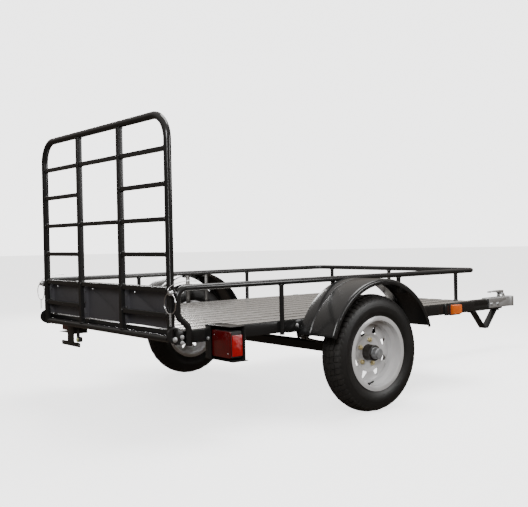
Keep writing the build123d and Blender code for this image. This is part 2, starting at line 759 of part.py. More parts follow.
# ---------------------------------------------------------------- gate
hinge_pin_start = hoop_half_w + hoop_r - hinge_pin_depth
lug_front = rail_rear_surface - lug_gap
lug_inner = hoop_half_w + hoop_r - lug_root
lug_outer = rail_x + latch_hole_r + lug_edge
with BuildPart() as gate_hoop:
    with BuildLine() as hoop_line:
        FilletPolyline(
            (hoop_half_w, gate_y, hinge_z - hinge_tube_r),
            (hoop_half_w, gate_y, gate_top_z),
            (-hoop_half_w, gate_y, gate_top_z),
            (-hoop_half_w, gate_y, hinge_z - hinge_tube_r),
            radius=hoop_corner_r,
        )
    with BuildSketch(Plane(origin=hoop_line.line @ 0, z_dir=hoop_line.line % 0)):
        Circle(hoop_r)
        Circle(hoop_r - hoop_wall, mode=Mode.SUBTRACT)
    sweep(path=hoop_line.line)
    # A lug on each upright holds its latch pin behind the rail's rear leg.
    for s in (-1, 1):
        with BuildSketch(Plane.XZ.offset(-at(lug_front - lug_t))):
            with Locations((s * (lug_inner + lug_outer) / 2, latch_z)):
                RectangleRounded(lug_outer - lug_inner, 2 * lug_half_h, lug_corner_r)
            with Locations((s * rail_x, latch_z)):
                Circle(latch_hole_r, mode=Mode.SUBTRACT)
        extrude(amount=-lug_t)
    with Locations(Plane.YZ):
        with Locations((gate_y, hinge_z)):
            Cylinder(hinge_pin_r, 4 * hoop_half_w, mode=Mode.SUBTRACT)
gate_hoop.part.label = "gate_hoop"
export_step(gate_hoop.part, "parts/gate_hoop.step")

with BuildPart() as gate_hinge_tube:
    with BuildSketch(Plane.YZ):
        with Locations((gate_y, hinge_z)):
            Circle(hinge_tube_r)
            Circle(hinge_pin_r, mode=Mode.SUBTRACT)
    extrude(amount=hoop_half_w - hoop_r, both=True)
    with BuildSketch(Plane.YZ):
        with Locations((gate_y, hinge_z)):
            Circle(hinge_tube_r - hinge_tube_wall)
    extrude(amount=hinge_pin_start - hinge_plug_gap, both=True, mode=Mode.SUBTRACT)
gate_hinge_tube.part.label = "gate_hinge_tube"
export_step(gate_hinge_tube.part, "parts/gate_hinge_tube.step")

with BuildPart() as gate_uprights:
    for x in (-upright_x, upright_x):
        with BuildSketch(Plane.XY.offset(hinge_z + hinge_tube_r)):
            with Locations((x, gate_y)):
                tube_section(upright_size, upright_size, upright_wall, upright_corner_r)
        extrude(amount=gate_top_z - hoop_r - hinge_z - hinge_tube_r)
gate_uprights.part.label = "gate_uprights"
export_step(gate_uprights.part, "parts/gate_uprights.step")

bay_middle = (-upright_x + upright_size / 2, upright_x - upright_size / 2)
bay_right = (upright_x + upright_size / 2, hoop_half_w - hoop_r)
bay_left = (-bay_right[1], -bay_right[0])
wide_rungs = [panel_rung_z + rung_pitch * step for step in (0, 2, 4)]
narrow_rungs = [mid_rung_z] + [panel_rung_z + rung_pitch * step for step in (1, 3)]
with BuildPart() as gate_rungs:
    for z in wide_rungs + narrow_rungs:
        bays = [bay_left, bay_right] if z in narrow_rungs else [bay_left, bay_middle, bay_right]
        for low, high in bays:
            with BuildSketch(Plane.YZ.offset(low)):
                with Locations((gate_y, z)):
                    tube_section(rung_size, rung_size, rung_wall, rung_corner_r)
            extrude(amount=high - low)
gate_rungs.part.label = "gate_rungs"
export_step(gate_rungs.part, "parts/gate_rungs.step")

# Each panel is a folded sheet: a face ahead of the uprights and a flange each side.
panel_top_z = panel_rung_z + rung_size / 2
panel_hole_z = panel_rung_z - panel_hole_drop
notch_size = rung_size + 2 * panel_notch_gap
for name, (low, high) in (("left", bay_left), ("middle", bay_middle), ("right", bay_right)):
    low_x = low + panel_side_gap
    high_x = high - panel_side_gap
    mid_x = (low_x + high_x) / 2
    face_y = at(panel_front - panel_t)
    with BuildPart() as gate_panel:
        with BuildSketch(Plane.XY.offset(panel_bottom_z)):
            with BuildLine():
                Polyline(
                    (low_x, face_y + panel_t - panel_flange),
                    (low_x, face_y + panel_t),
                    (high_x, face_y + panel_t),
                    (high_x, face_y + panel_t - panel_flange),
                    (high_x - panel_t, face_y + panel_t - panel_flange),
                    (high_x - panel_t, face_y),
                    (low_x + panel_t, face_y),
                    (low_x + panel_t, face_y + panel_t - panel_flange),
                    close=True,
                )
            make_face()
        extrude(amount=panel_top_z - panel_bottom_z)
        # The rungs cross the flanges, so the flanges are notched round them.
        for z in (panel_rung_z, mid_rung_z):
            with Locations((mid_x, gate_y, z)):
                Box(2 * (high_x - low_x), notch_size, notch_size, mode=Mode.SUBTRACT)
        with BuildSketch(Plane.XZ.offset(-face_y + panel_t)):
            with Locations(
                (low_x + panel_hole_inset, panel_hole_z), (high_x - panel_hole_inset, panel_hole_z)
            ):
                Circle(panel_hole_r)
        extrude(amount=-3 * panel_t, mode=Mode.SUBTRACT)
    gate_panel.part.label = f"gate_panel_{name}"
    export_step(gate_panel.part, f"parts/gate_panel_{name}.step")

# ---------------------------------------------------------------- hinge ears and pins
ear_inner = frame_half_w + rail_gap
ear_outer = ear_inner + ear_t
ear_slot_r = hinge_pin_r + hinge_pin_clearance
ear_slot_top = ear_centre_z + ear_slot_rise
with BuildPart() as hinge_ears:
    for s in (-1, 1):
        with BuildSketch(Plane.YZ.offset(s * (ear_inner + ear_t / 2))):
            with Locations((gate_y, ear_centre_z)):
                Circle(ear_r)
            with Locations((at(ear_tail / 2), frame_bottom_z + frame_depth / 2)):
                Rectangle(ear_tail, frame_depth)
            with Locations((gate_y, (hinge_z + ear_slot_top) / 2)):
                SlotCenterToCenter(ear_slot_top - hinge_z, 2 * ear_slot_r, rotation=90, mode=Mode.SUBTRACT)
        extrude(amount=ear_t / 2, both=True)
hinge_ears.part.label = "hinge_ears"
export_step(hinge_ears.part, "parts/hinge_ears.step")

pin_end = ear_outer + hinge_pin_reach
with BuildPart() as hinge_pins:
    for s in (-1, 1):
        with BuildSketch(Plane.YZ.offset(s * hinge_pin_start)):
            with Locations((gate_y, hinge_z)):
                Circle(hinge_pin_r)
        extrude(amount=s * (pin_end - hinge_pin_start))
        with BuildSketch(Plane.YZ.offset(s * (ear_outer + hinge_washer_t / 2))):
            with Locations((gate_y, hinge_z)):
                Circle(hinge_pin_r + hinge_washer_w)
        extrude(amount=s * hinge_washer_t)
hinge_pins.part.label = "hinge_pins"
export_step(hinge_pins.part, "parts/hinge_pins.step")

# ---------------------------------------------------------------- latch pins and rings
pin_tip = rail_front_surface + latch_front_reach
head_front = lug_front - lug_t - latch_head_gap
head_rear = head_front - latch_head_len
ring_place = head_rear + ring_inset
for side, s in sides:
    with BuildPart() as latch_pin:
        with BuildSketch(Plane.XZ.offset(-at(head_front))):
            with Locations((s * rail_x, latch_z)):
                Circle(latch_pin_r)
        extrude(amount=-(pin_tip - head_front))
        chamfer(latch_pin.edges().sort_by(Axis.Y)[-1], length=latch_tip_chamfer)
        with BuildSketch(Plane.XZ.offset(-at(head_rear))):
            with Locations((s * rail_x, latch_z)):
                Circle(latch_head_r)
        extrude(amount=-latch_head_len)
        with Locations(Plane.YZ):
            with Locations((at(ring_place), latch_z)):
                Cylinder(ring_wire_r + ring_hole_clearance, 4 * rail_x, mode=Mode.SUBTRACT)
    latch_pin.part.label = f"latch_pin_{side}"
    export_step(latch_pin.part, f"parts/latch_pin_{side}.step")

    with BuildPart() as latch_ring:
        ring_plane = Plane(
            origin=(s * rail_x, at(ring_place), latch_z - ring_r), x_dir=(1, 0, 0), z_dir=(0, -1, 0)
        )
        with BuildSketch(Plane.YZ.offset(s * rail_x)):
            with Locations((at(ring_place), latch_z)):
                Circle(ring_wire_r)
        revolve(axis=Axis(ring_plane.origin, (0, 1, 0)), revolution_arc=360)
    latch_ring.part.label = f"latch_ring_{side}"
    export_step(latch_ring.part, f"parts/latch_ring_{side}.step")

# ---------------------------------------------------------------- axle and springs
with BuildPart() as axle_beam:
    with BuildSketch(Plane.YZ):
        with Locations((wheel_y, axle_z)):
            tube_section(axle_size, axle_size, axle_wall, axle_corner_r)
    extrude(amount=axle_half_len, both=True)
    for s in (-1, 1):
        with BuildSketch(Plane.YZ.offset(s * (axle_half_len - sleeve_inboard))):
            with Locations((wheel_y, axle_z)):
                Circle(spindle_r + spindle_sleeve)
        extrude(amount=s * sleeve_len)
        with BuildSketch(Plane.YZ.offset(s * axle_half_len)):
            with Locations((wheel_y, axle_z)):
                Circle(spindle_r)
        extrude(amount=s * (spindle_tip - axle_half_len))
axle_beam.part.label = "axle_beam"
export_step(axle_beam.part, "parts/axle_beam.step")

spring_seat_z = axle_z + axle_size / 2
seat_pad_t = 4.0
leaf_low_z = spring_seat_z + seat_pad_t
clip_low_z = leaf_low_z + 2 * spring_leaf_t
for side, s in sides:
    with BuildPart() as leaf_spring:
        eye_low = spring_eye_z - spring_eye_r
        for reach, low_z, end_z in (
            (spring_half_span * second_leaf_share, leaf_low_z, leaf_low_z + second_leaf_camber),
            (spring_half_span, leaf_low_z + spring_leaf_t, eye_low),
        ):
            with BuildSketch(Plane.YZ.offset(s * spring_x)):
                with BuildLine():
                    ThreePointArc((wheel_y - reach, end_z), (wheel_y, low_z), (wheel_y + reach, end_z))
                    Line((wheel_y + reach, end_z), (wheel_y + reach, end_z + spring_leaf_t))
                    ThreePointArc(
                        (wheel_y + reach, end_z + spring_leaf_t),
                        (wheel_y, low_z + spring_leaf_t),
                        (wheel_y - reach, end_z + spring_leaf_t),
                    )
                    Line((wheel_y - reach, end_z + spring_leaf_t), (wheel_y - reach, end_z))
                make_face()
            extrude(amount=spring_w / 2, both=True)
        for end in (-1, 1):
            with BuildSketch(Plane.YZ.offset(s * spring_x)):
                with Locations((wheel_y + end * spring_half_span, spring_eye_z)):
                    Circle(spring_eye_r)
                    Circle(spring_bolt_r + bolt_clearance, mode=Mode.SUBTRACT)
            extrude(amount=spring_w / 2, both=True)
        with Locations(Plane.YZ):
            for end in (-1, 1):
                with Locations((wheel_y + end * spring_half_span, spring_eye_z)):
                    Cylinder(spring_bolt_r + bolt_clearance, 4 * spring_x, mode=Mode.SUBTRACT)
    leaf_spring.part.label = f"leaf_spring_{side}"
    export_step(leaf_spring.part, f"parts/leaf_spring_{side}.step")

hanger_t = 4.0
hanger_gap = 1.0
hanger_in = spring_w / 2 + hanger_gap
hanger_half = 20.0
hanger_toe_half = 11.0
hanger_toe_drop = 13.0        # below the spring eye's centre
with BuildPart() as spring_hangers:
    for s in (-1, 1):
        for end in (-1, 1):
            eye_y = wheel_y + end * spring_half_span
            with Locations((s * spring_x, eye_y, frame_bottom_z - hanger_t / 2)):
                Box(2 * (hanger_in + hanger_t), 2 * hanger_half, hanger_t)
            for wall in (-1, 1):
                with BuildSketch(Plane.YZ.offset(s * spring_x + wall * (hanger_in + hanger_t / 2))):
                    with BuildLine():
                        Polyline(
                            (eye_y - hanger_half, frame_bottom_z),
                            (eye_y + hanger_half, frame_bottom_z),
                            (eye_y + hanger_toe_half, spring_eye_z - hanger_toe_drop),
                            (eye_y - hanger_toe_half, spring_eye_z - hanger_toe_drop),
                            close=True,
                        )
                    make_face()
                extrude(amount=hanger_t / 2, both=True)
    with Locations(Plane.YZ):
        for end in (-1, 1):
            with Locations((wheel_y + end * spring_half_span, spring_eye_z)):
                Cylinder(spring_bolt_r + bolt_clearance, 4 * spring_x, mode=Mode.SUBTRACT)
spring_hangers.part.label = "spring_hangers"
export_step(spring_hangers.part, "parts/spring_hangers.step")

with BuildPart() as spring_bolts:
    for s in (-1, 1):
        for end in (-1, 1):
            bolt_half = hanger_in + hanger_t
            with Locations(Plane.YZ):
                with Locations((wheel_y + end * spring_half_span, spring_eye_z, s * spring_x)):
                    Cylinder(spring_bolt_r, 2 * (bolt_half + spring_nut_t / 2))
            for head in (-1, 1):
                nut_centre = bolt_half + spring_nut_gap + spring_nut_t / 2
                with BuildSketch(Plane.YZ.offset(s * spring_x + head * nut_centre)):
                    with Locations((wheel_y + end * spring_half_span, spring_eye_z)):
                        RegularPolygon(spring_bolt_r * spring_nut_scale, 6)
                extrude(amount=spring_nut_t / 2, both=True)
spring_bolts.part.label = "spring_bolts"
export_step(spring_bolts.part, "parts/spring_bolts.step")

ubolt_x = spring_w / 2 + ubolt_r + ubolt_side_gap
ubolt_y = axle_size / 2 + ubolt_r + ubolt_axle_gap
tie_plate_t = 8.0
tie_plate_top = axle_z - axle_size / 2
with BuildPart() as spring_plates:
    for s in (-1, 1):
        with Locations((s * spring_x, wheel_y, tie_plate_top - tie_plate_t / 2)):
            Box(2 * (ubolt_x + tie_plate_margin), 2 * (ubolt_y + tie_plate_margin), tie_plate_t)
        with Locations((s * spring_x, wheel_y, spring_seat_z + seat_pad_t / 2)):
            Box(spring_w, axle_size, seat_pad_t)
    for s in (-1, 1):
        for end in (-1, 1):
            with Locations(
                (s * spring_x - ubolt_x, wheel_y + end * ubolt_y, tie_plate_top - tie_plate_t / 2),
                (s * spring_x + ubolt_x, wheel_y + end * ubolt_y, tie_plate_top - tie_plate_t / 2),
            ):
                Cylinder(ubolt_r + bolt_clearance, 4 * tie_plate_t, mode=Mode.SUBTRACT)
spring_plates.part.label = "spring_plates"
export_step(spring_plates.part, "parts/spring_plates.step")

ubolt_top = clip_low_z + ubolt_crown_gap + ubolt_r
ubolt_low = tie_plate_top - tie_plate_t - ubolt_tail
with BuildPart() as u_bolts:
    for s in (-1, 1):
        for end in (-1, 1):
            leg_y = wheel_y + end * ubolt_y
            with BuildLine() as ubolt_line:
                FilletPolyline(
                    (s * spring_x - ubolt_x, leg_y, ubolt_low),
                    (s * spring_x - ubolt_x, leg_y, ubolt_top),
                    (s * spring_x + ubolt_x, leg_y, ubolt_top),
                    (s * spring_x + ubolt_x, leg_y, ubolt_low),
                    radius=ubolt_bend_r,
                )
            with BuildSketch(Plane(origin=ubolt_line.line @ 0, z_dir=ubolt_line.line % 0)):
                Circle(ubolt_r)
            sweep(path=ubolt_line.line)
            for x in (s * spring_x - ubolt_x, s * spring_x + ubolt_x):
                with BuildSketch(Plane.XY.offset(tie_plate_top - tie_plate_t - ubolt_nut_gap - ubolt_nut_t)):
                    with Locations((x, leg_y)):
                        RegularPolygon(ubolt_nut_r, 6)
                extrude(amount=ubolt_nut_t)
u_bolts.part.label = "u_bolts"
export_step(u_bolts.part, "parts/u_bolts.step")

# ---------------------------------------------------------------- wheels
disc_edge_r = rim_well_r - rim_wall + disc_fit
flank_slope = (0.6, 1.0)      # tyre's outline leaves the bead
edge_slope = (-1.0, 1.1)      # and reaches the tread's edge
tyre_outline = (
    (bead_half_w - bead_taper, bead_r),
    (bead_half_w, rim_flange_r + tyre_flank_rise),
    (tyre_half_w, tyre_wide_r),
    (tyre_half_w - tyre_edge_inset, tyre_shoulder_r),
)
for side, s in sides:
    centre_x = s * track_half
    hub_face_x = centre_x + s * disc_hub_face
    axis = Axis((0, wheel_y, axle_z), (1, 0, 0))
    # A plane through the wheel's axis: X outward from the centre plane, Y up the radius.
    section = Plane(origin=(centre_x, wheel_y, axle_z), x_dir=(s, 0, 0), z_dir=(0, -s, 0))
    face_plane = Plane(origin=(hub_face_x, wheel_y, axle_z), x_dir=(0, 1, 0), z_dir=(s, 0, 0))

    with BuildPart() as tyre:
        with BuildSketch(section):
            with BuildLine():
                (bead_x, bead_y), (flank_x, flank_y), (wide_x, wide_y), (edge_x, edge_y) = tyre_outline
                Line((bead_x, bead_y), (flank_x, flank_y))
                Spline(
                    (flank_x, flank_y),
                    (wide_x, wide_y),
                    (edge_x, edge_y),
                    tangents=(flank_slope, edge_slope),
                )
                ThreePointArc((edge_x, edge_y), (0, tyre_r), (-edge_x, edge_y))
                Spline(
                    (-edge_x, edge_y),
                    (-wide_x, wide_y),
                    (-flank_x, flank_y),
                    tangents=((edge_slope[0], -edge_slope[1]), (flank_slope[0], -flank_slope[1])),
                )
                Line((-flank_x, flank_y), (-bead_x, bead_y))
                Line((-bead_x, bead_y), (-bead_x + tyre_wall, bead_y))
                Line((-bead_x + tyre_wall, bead_y), (-flank_x + tyre_wall, flank_y))
                ThreePointArc(
                    (-flank_x + tyre_wall, flank_y),
                    (0, tyre_r - tyre_crown_wall),
                    (flank_x - tyre_wall, flank_y),
                )
                Line((flank_x - tyre_wall, flank_y), (bead_x - tyre_wall, bead_y))
                Line((bead_x - tyre_wall, bead_y), (bead_x, bead_y))
            make_face()
        revolve(axis=axis)
    tyre.part.label = f"tyre_{side}"
    export_step(tyre.part, f"parts/tyre_{side}.step")

    with BuildPart() as rim:
        with BuildSketch(section):
            with BuildLine():
                Polyline(
                    (-rim_half_w - rim_wall, rim_flange_r),
                    (-rim_half_w, rim_flange_r),
                    (-rim_half_w, rim_seat_r),
                    (-rim_rear_slope[0], rim_seat_r - rim_seat_drop),
                    (-rim_rear_slope[1], rim_well_r),
                    (rim_front_slope[1], rim_well_r),
                    (rim_front_slope[0], rim_seat_r - rim_seat_drop),
                    (rim_half_w, rim_seat_r),
                    (rim_half_w, rim_flange_r),
                    (rim_half_w + rim_wall, rim_flange_r),
                    (rim_half_w + rim_wall, rim_seat_r - rim_wall),
                    (rim_front_slope[0] + rim_slope_shift, rim_seat_r - rim_seat_drop - rim_wall),
                    (rim_front_slope[1] + rim_slope_shift, rim_well_r - rim_wall),
                    (-rim_rear_slope[1] - rim_slope_shift, rim_well_r - rim_wall),
                    (-rim_rear_slope[0] - rim_slope_shift, rim_seat_r - rim_seat_drop - rim_wall),
                    (-rim_half_w - rim_wall, rim_seat_r - rim_wall),
                    close=True,
                )
            make_face()
            with BuildLine():
                Polyline(
                    (disc_hub_face, hub_barrel_r + disc_bore_gap),
                    (disc_hub_face, disc_hub_r),
                    (disc_crown, disc_hub_r + disc_crown_rise),
                    (disc_hub_face + disc_rim_step, disc_edge_r),
                    (disc_hub_face + disc_rim_step + disc_wall, disc_edge_r),
                    (disc_crown + disc_wall, disc_hub_r + disc_crown_rise + disc_rim_step),
                    (disc_hub_face + disc_wall, disc_hub_r + disc_rim_step),
                    (disc_hub_face + disc_wall, hub_barrel_r + disc_bore_gap),
                    close=True,
                )
            make_face()
        revolve(axis=axis)
        for index in range(window_count):
            angle = window_angle + index * 360 / window_count
            window_plane = Plane(
                origin=(centre_x - s * window_cut / 2, wheel_y, axle_z),
                x_dir=(0, cos(radians(angle)), sin(radians(angle))),
                z_dir=(s, 0, 0),
            )
            with BuildSketch(window_plane):
                with BuildLine():
                    Polyline(
                        (window_r - window_h / 2, -window_w / 2),
                        (window_r + window_h / 2, -window_w * window_tip_share),
                        (window_r + window_h / 2, window_w * window_tip_share),
                        (window_r - window_h / 2, window_w / 2),
                        close=True,
                    )
                make_face()
            extrude(amount=window_cut, mode=Mode.SUBTRACT)
        with BuildSketch(face_plane.offset(-disc_wall)):
            with PolarLocations(lug_circle_r, lug_count, start_angle=lug_angle):
                Circle(lug_rim_hole_r)
        extrude(amount=3 * disc_wall, mode=Mode.SUBTRACT)
    rim.part.label = f"rim_{side}"
    export_step(rim.part, f"parts/rim_{side}.step")

    tail_plane = face_plane.offset(-hub_flange_t - hub_tail_len)
    nose_end = hub_nose_len + disc_wall
    with BuildPart() as hub:
        with BuildSketch(tail_plane):
            Circle(hub_barrel_r)
        extrude(amount=hub_tail_len + hub_flange_t + nose_end)
        with BuildSketch(face_plane.offset(-hub_flange_t)):
            Circle(hub_flange_r)
        extrude(amount=hub_flange_t)
        with BuildSketch(face_plane.offset(nose_end - bearing_w - cap_depth)):
            Circle(bearing_r)
        extrude(amount=bearing_w + cap_depth, mode=Mode.SUBTRACT)
        with BuildSketch(tail_plane):
            Circle(bearing_r)
        extrude(amount=bearing_w, mode=Mode.SUBTRACT)
        with BuildSketch(tail_plane):
            Circle(bearing_r - hub_shoulder)
        extrude(amount=hub_tail_len + hub_flange_t + nose_end, mode=Mode.SUBTRACT)
        with BuildSketch(face_plane.offset(-hub_flange_t)):
            with PolarLocations(lug_circle_r, lug_count, start_angle=lug_angle):
                Circle(lug_hub_hole_r)
        extrude(amount=hub_flange_t, mode=Mode.SUBTRACT)
    hub.part.label = f"hub_{side}"
    export_step(hub.part, f"parts/hub_{side}.step")

    with BuildPart() as bearings:
        for start in (nose_end - bearing_w - cap_depth, -hub_flange_t - hub_tail_len):
            with BuildSketch(face_plane.offset(start)):
                Circle(bearing_r)
                Circle(spindle_r + pin_running, mode=Mode.SUBTRACT)
            extrude(amount=bearing_w)
    bearings.part.label = f"bearings_{side}"
    export_step(bearings.part, f"parts/bearings_{side}.step")

    with BuildPart() as dust_cap:
        with BuildSketch(face_plane.offset(nose_end - cap_depth)):
            Circle(cap_r)
        extrude(amount=cap_depth + cap_len)
        cap_edges = dust_cap.edges().sort_by(Axis.X)
        fillet(cap_edges[-1] if s > 0 else cap_edges[0], radius=cap_fillet)
        with BuildSketch(face_plane.offset(nose_end - cap_depth)):
            Circle(cap_r - cap_wall)
        extrude(amount=cap_depth + cap_len - cap_wall, mode=Mode.SUBTRACT)
        with BuildSketch(face_plane.offset(nose_end)):
            Circle(cap_r + cap_rim_w)
            Circle(cap_r, mode=Mode.SUBTRACT)
        extrude(amount=cap_rim_t)
    dust_cap.part.label = f"dust_cap_{side}"
    export_step(dust_cap.part, f"parts/dust_cap_{side}.step")

    with BuildPart() as lug_nuts:
        with BuildSketch(face_plane.offset(-hub_flange_t)):
            with PolarLocations(lug_circle_r, lug_count, start_angle=lug_angle):
                Circle(lug_stud_r)
        extrude(amount=hub_flange_t + disc_wall + lug_nut_len)
        with BuildSketch(face_plane.offset(disc_wall)):
            with PolarLocations(lug_circle_r, lug_count, start_angle=lug_angle):
                RegularPolygon(lug_flats / 2, 6, major_radius=False)
        extrude(amount=lug_nut_len, taper=lug_taper)
    lug_nuts.part.label = f"lug_nuts_{side}"
    export_step(lug_nuts.part, f"parts/lug_nuts_{side}.step")

    valve_c = cos(radians(valve_angle))
    valve_s = sin(radians(valve_angle))
    valve_base = (centre_x + s * valve_inset, wheel_y + valve_r * valve_c, axle_z + valve_r * valve_s)
    valve_dir = (s * valve_lean[0], -valve_lean[1] * valve_c, -valve_lean[1] * valve_s)
    with BuildPart() as valve_stem:
        with BuildSketch(Plane(origin=valve_base, z_dir=valve_dir)):
            Circle(valve_foot_r)
        extrude(amount=valve_foot_t, taper=valve_foot_taper)
        with BuildSketch(Plane(origin=valve_base, z_dir=valve_dir)):
            Circle(valve_body_r)
        extrude(amount=valve_len)
    valve_stem.part.label = f"valve_stem_{side}"
    export_step(valve_stem.part, f"parts/valve_stem_{side}.step")

# ---------------------------------------------------------------- fenders
fender_low_angle = asin((fender_end_z - axle_z) / fender_r)
fender_sweep = 180 - 2 * degrees(fender_low_angle)
bead_low_x = fender_bead_x + fender_bead_w * fender_bead_side
bead_high_x = fender_bead_x + fender_bead_w * (1 - fender_bead_side)
for side, s in sides:
    low_plane = Plane(
        origin=(0, wheel_y, axle_z),
        x_dir=(s, 0, 0),
        z_dir=(0, -s * sin(fender_low_angle), s * cos(fender_low_angle)),
    )
    edge_r = fender_edge - fender_t
    with BuildPart() as fender:
        with BuildSketch(low_plane):
            with BuildLine():
                Polyline(
                    (fender_outer - fender_edge, fender_r),
                    (fender_bead_x + fender_bead_w, fender_r),
                    (bead_high_x, fender_r - fender_bead_d),
                    (bead_low_x, fender_r - fender_bead_d),
                    (fender_bead_x, fender_r),
                    (fender_inner, fender_r),
                    (fender_inner, fender_r - fender_t),
                    (fender_bead_x - fender_t / 2, fender_r - fender_t),
                    (bead_low_x - fender_t / 2, fender_r - fender_bead_d - fender_t),
                    (bead_high_x + fender_t / 2, fender_r - fender_bead_d - fender_t),
                    (fender_bead_x + fender_bead_w + fender_t / 2, fender_r - fender_t),
                    (fender_outer - fender_edge, fender_r - fender_t),
                )
                RadiusArc(
                    (fender_outer - fender_edge, fender_r - fender_t),
                    (fender_outer - fender_t, fender_r - fender_edge),
                    edge_r,
                )
                Polyline(
                    (fender_outer - fender_t, fender_r - fender_edge),
                    (fender_outer - fender_t, fender_r - fender_lip),
                    (fender_outer, fender_r - fender_lip),
                    (fender_outer, fender_r - fender_edge),
                )
                RadiusArc(
                    (fender_outer, fender_r - fender_edge),
                    (fender_outer - fender_edge, fender_r),
                    -fender_edge,
                )
            make_face()
        revolve(axis=Axis((0, wheel_y, axle_z), (1, 0, 0)), revolution_arc=fender_sweep)
    fender.part.label = f"fender_{side}"
    export_step(fender.part, f"parts/fender_{side}.step")

# Straps from the side rails up to the fenders' undersides, and a foot at each fender's end.
under_fender_r = fender_r - fender_t - fender_fit
foot_reach = fender_r * cos(fender_low_angle) - foot_inset
strap_top = rail_z - rail_r - rail_gap
foot_w = fender_inner + pad_w - frame_half_w
with BuildPart() as fender_braces:
    for s in (-1, 1):
        # Pads and tabs are first cut back to the fender's round underside.
        for place in brace_places:
            with Locations((s * (fender_inner + pad_w / 2 + rail_gap), wheel_y + place, strap_top)):
                Box(pad_w, brace_w, 2 * brace_pad_h)
        for end in (-1, 1):
            with Locations((s * (fender_inner + pad_w / 2 + rail_gap), wheel_y + end * foot_reach, foot_z)):
                Box(pad_w, 2 * foot_inset, foot_h)
    with BuildSketch(Plane.YZ):
        with Locations((wheel_y, axle_z)):
            Circle(under_fender_r)
    extrude(amount=fender_outer, both=True, mode=Mode.INTERSECT)
    for s in (-1, 1):
        for place in brace_places:
            strap_y = wheel_y + place
            with BuildSketch(Plane.YZ.offset(s * (frame_half_w + rail_gap))):
                with Locations((strap_y, (brace_bottom_z + strap_top) / 2)):
                    Rectangle(brace_w, strap_top - brace_bottom_z)
            extrude(amount=s * brace_t)
            flange_z = strap_top - brace_pad_h - brace_t / 2
            with Locations((s * (frame_half_w + rail_gap + foot_w / 2), strap_y, flange_z)):
                Box(foot_w, brace_w, brace_t)
        for end in (-1, 1):
            foot_x = s * (frame_half_w + rail_gap + foot_w / 2)
            with Locations((foot_x, wheel_y + end * foot_reach, foot_z)):
                Box(foot_w, foot_len, foot_h)
fender_braces.part.label = "fender_braces"
export_step(fender_braces.part, "parts/fender_braces.step")

# ---------------------------------------------------------------- lamps
lamp_mid_z = lamp_bottom_z + lamp_h / 2
lamp_front = lamp_rear + lamp_depth
bracket_x = frame_half_w + rail_gap
with BuildPart() as lamp_brackets:
    for s in (-1, 1):
        bracket_mid_y = at((lamp_bracket_rear + lamp_bracket_front) / 2)
        bracket_len = lamp_bracket_front - lamp_bracket_rear
        bracket_mid_z = (lamp_bracket_bottom_z + lamp_bracket_top_z) / 2
        bracket_h = lamp_bracket_top_z - lamp_bracket_bottom_z
        roof_w = lamp_outer + lamp_hood_proud - bracket_x
        tray_w = roof_w + lamp_tray_proud
        with Locations((s * (bracket_x + lamp_bracket_t / 2), bracket_mid_y, bracket_mid_z)):
            Box(lamp_bracket_t, bracket_len, bracket_h)
        with Locations(
            (s * (bracket_x + roof_w / 2), bracket_mid_y, lamp_bracket_top_z - lamp_bracket_t / 2),
        ):
            Box(roof_w, bracket_len, lamp_bracket_t)
        with Locations(
            (s * (bracket_x + tray_w / 2), bracket_mid_y, lamp_bracket_bottom_z + lamp_bracket_t / 2),
        ):
            Box(tray_w, bracket_len, lamp_bracket_t)
        with Locations(
            (s * (bracket_x + roof_w / 2), at(lamp_bracket_front) - lamp_bracket_t / 2, bracket_mid_z),
        ):
            Box(roof_w, lamp_bracket_t, bracket_h)
        cheek_w = lamp_inner - lamp_gap - bracket_x
        cheek_y = at(lamp_bracket_rear) + lamp_bracket_t / 2
        with Locations((s * (bracket_x + cheek_w / 2), cheek_y, bracket_mid_z)):
            Box(cheek_w, lamp_bracket_t, bracket_h)
        # Marker lamp bracket further forward, a folded clip on the side rail.
        clip_y = at(marker_place - marker_len / 2 - marker_bracket_len / 2)
        clip_z = marker_centre_z + marker_clip_rise
        with Locations((s * (bracket_x + marker_bracket_t / 2), clip_y, clip_z)):
            Box(marker_bracket_t, marker_bracket_len, marker_h + 2 * marker_clip_margin)
        with Locations((s * (bracket_x + marker_bracket_t / 2), at(marker_place), marker_centre_z)):
            Box(marker_bracket_t, marker_len, marker_h - 2 * marker_plate_inset)
lamp_brackets.part.label = "lamp_brackets"
export_step(lamp_brackets.part, "parts/lamp_brackets.step")

housing_rear = lamp_rear + lamp_lens_t
housing_len = lamp_front - housing_rear - lamp_gap
housing_outer = lamp_outer - side_lens_t
with BuildPart() as tail_lamp_housings:
    for s in (-1, 1):
        with BuildSketch(Plane.XZ.offset(-at(housing_rear))):
            with Locations((s * (lamp_inner + housing_outer) / 2, lamp_mid_z)):
                RectangleRounded(housing_outer - lamp_inner, lamp_h, lamp_corner_r)
        extrude(amount=-housing_len)
tail_lamp_housings.part.label = "tail_lamp_housings"
export_step(tail_lamp_housings.part, "parts/tail_lamp_housings.step")

with BuildPart() as tail_lenses:
    for s in (-1, 1):
        with BuildSketch(Plane.XZ.offset(-at(lamp_rear))):
            with Locations((s * (lamp_inner + housing_outer) / 2, lamp_mid_z)):
                RectangleRounded(housing_outer - lamp_inner, lamp_h, lamp_corner_r)
        extrude(amount=-lamp_lens_t)
tail_lenses.part.label = "tail_lenses"
export_step(tail_lenses.part, "parts/tail_lenses.step")

with BuildPart() as side_lenses:
    for s in (-1, 1):
        with BuildSketch(Plane.YZ.offset(s * housing_outer)):
            with Locations((at((housing_rear + lamp_front - lamp_gap) / 2), lamp_mid_z - side_lens_drop)):
                RectangleRounded(min(side_lens_w, housing_len), side_lens_h, side_lens_corner_r)
        extrude(amount=s * side_lens_t)
side_lenses.part.label = "side_lenses"
export_step(side_lenses.part, "parts/side_lenses.step")

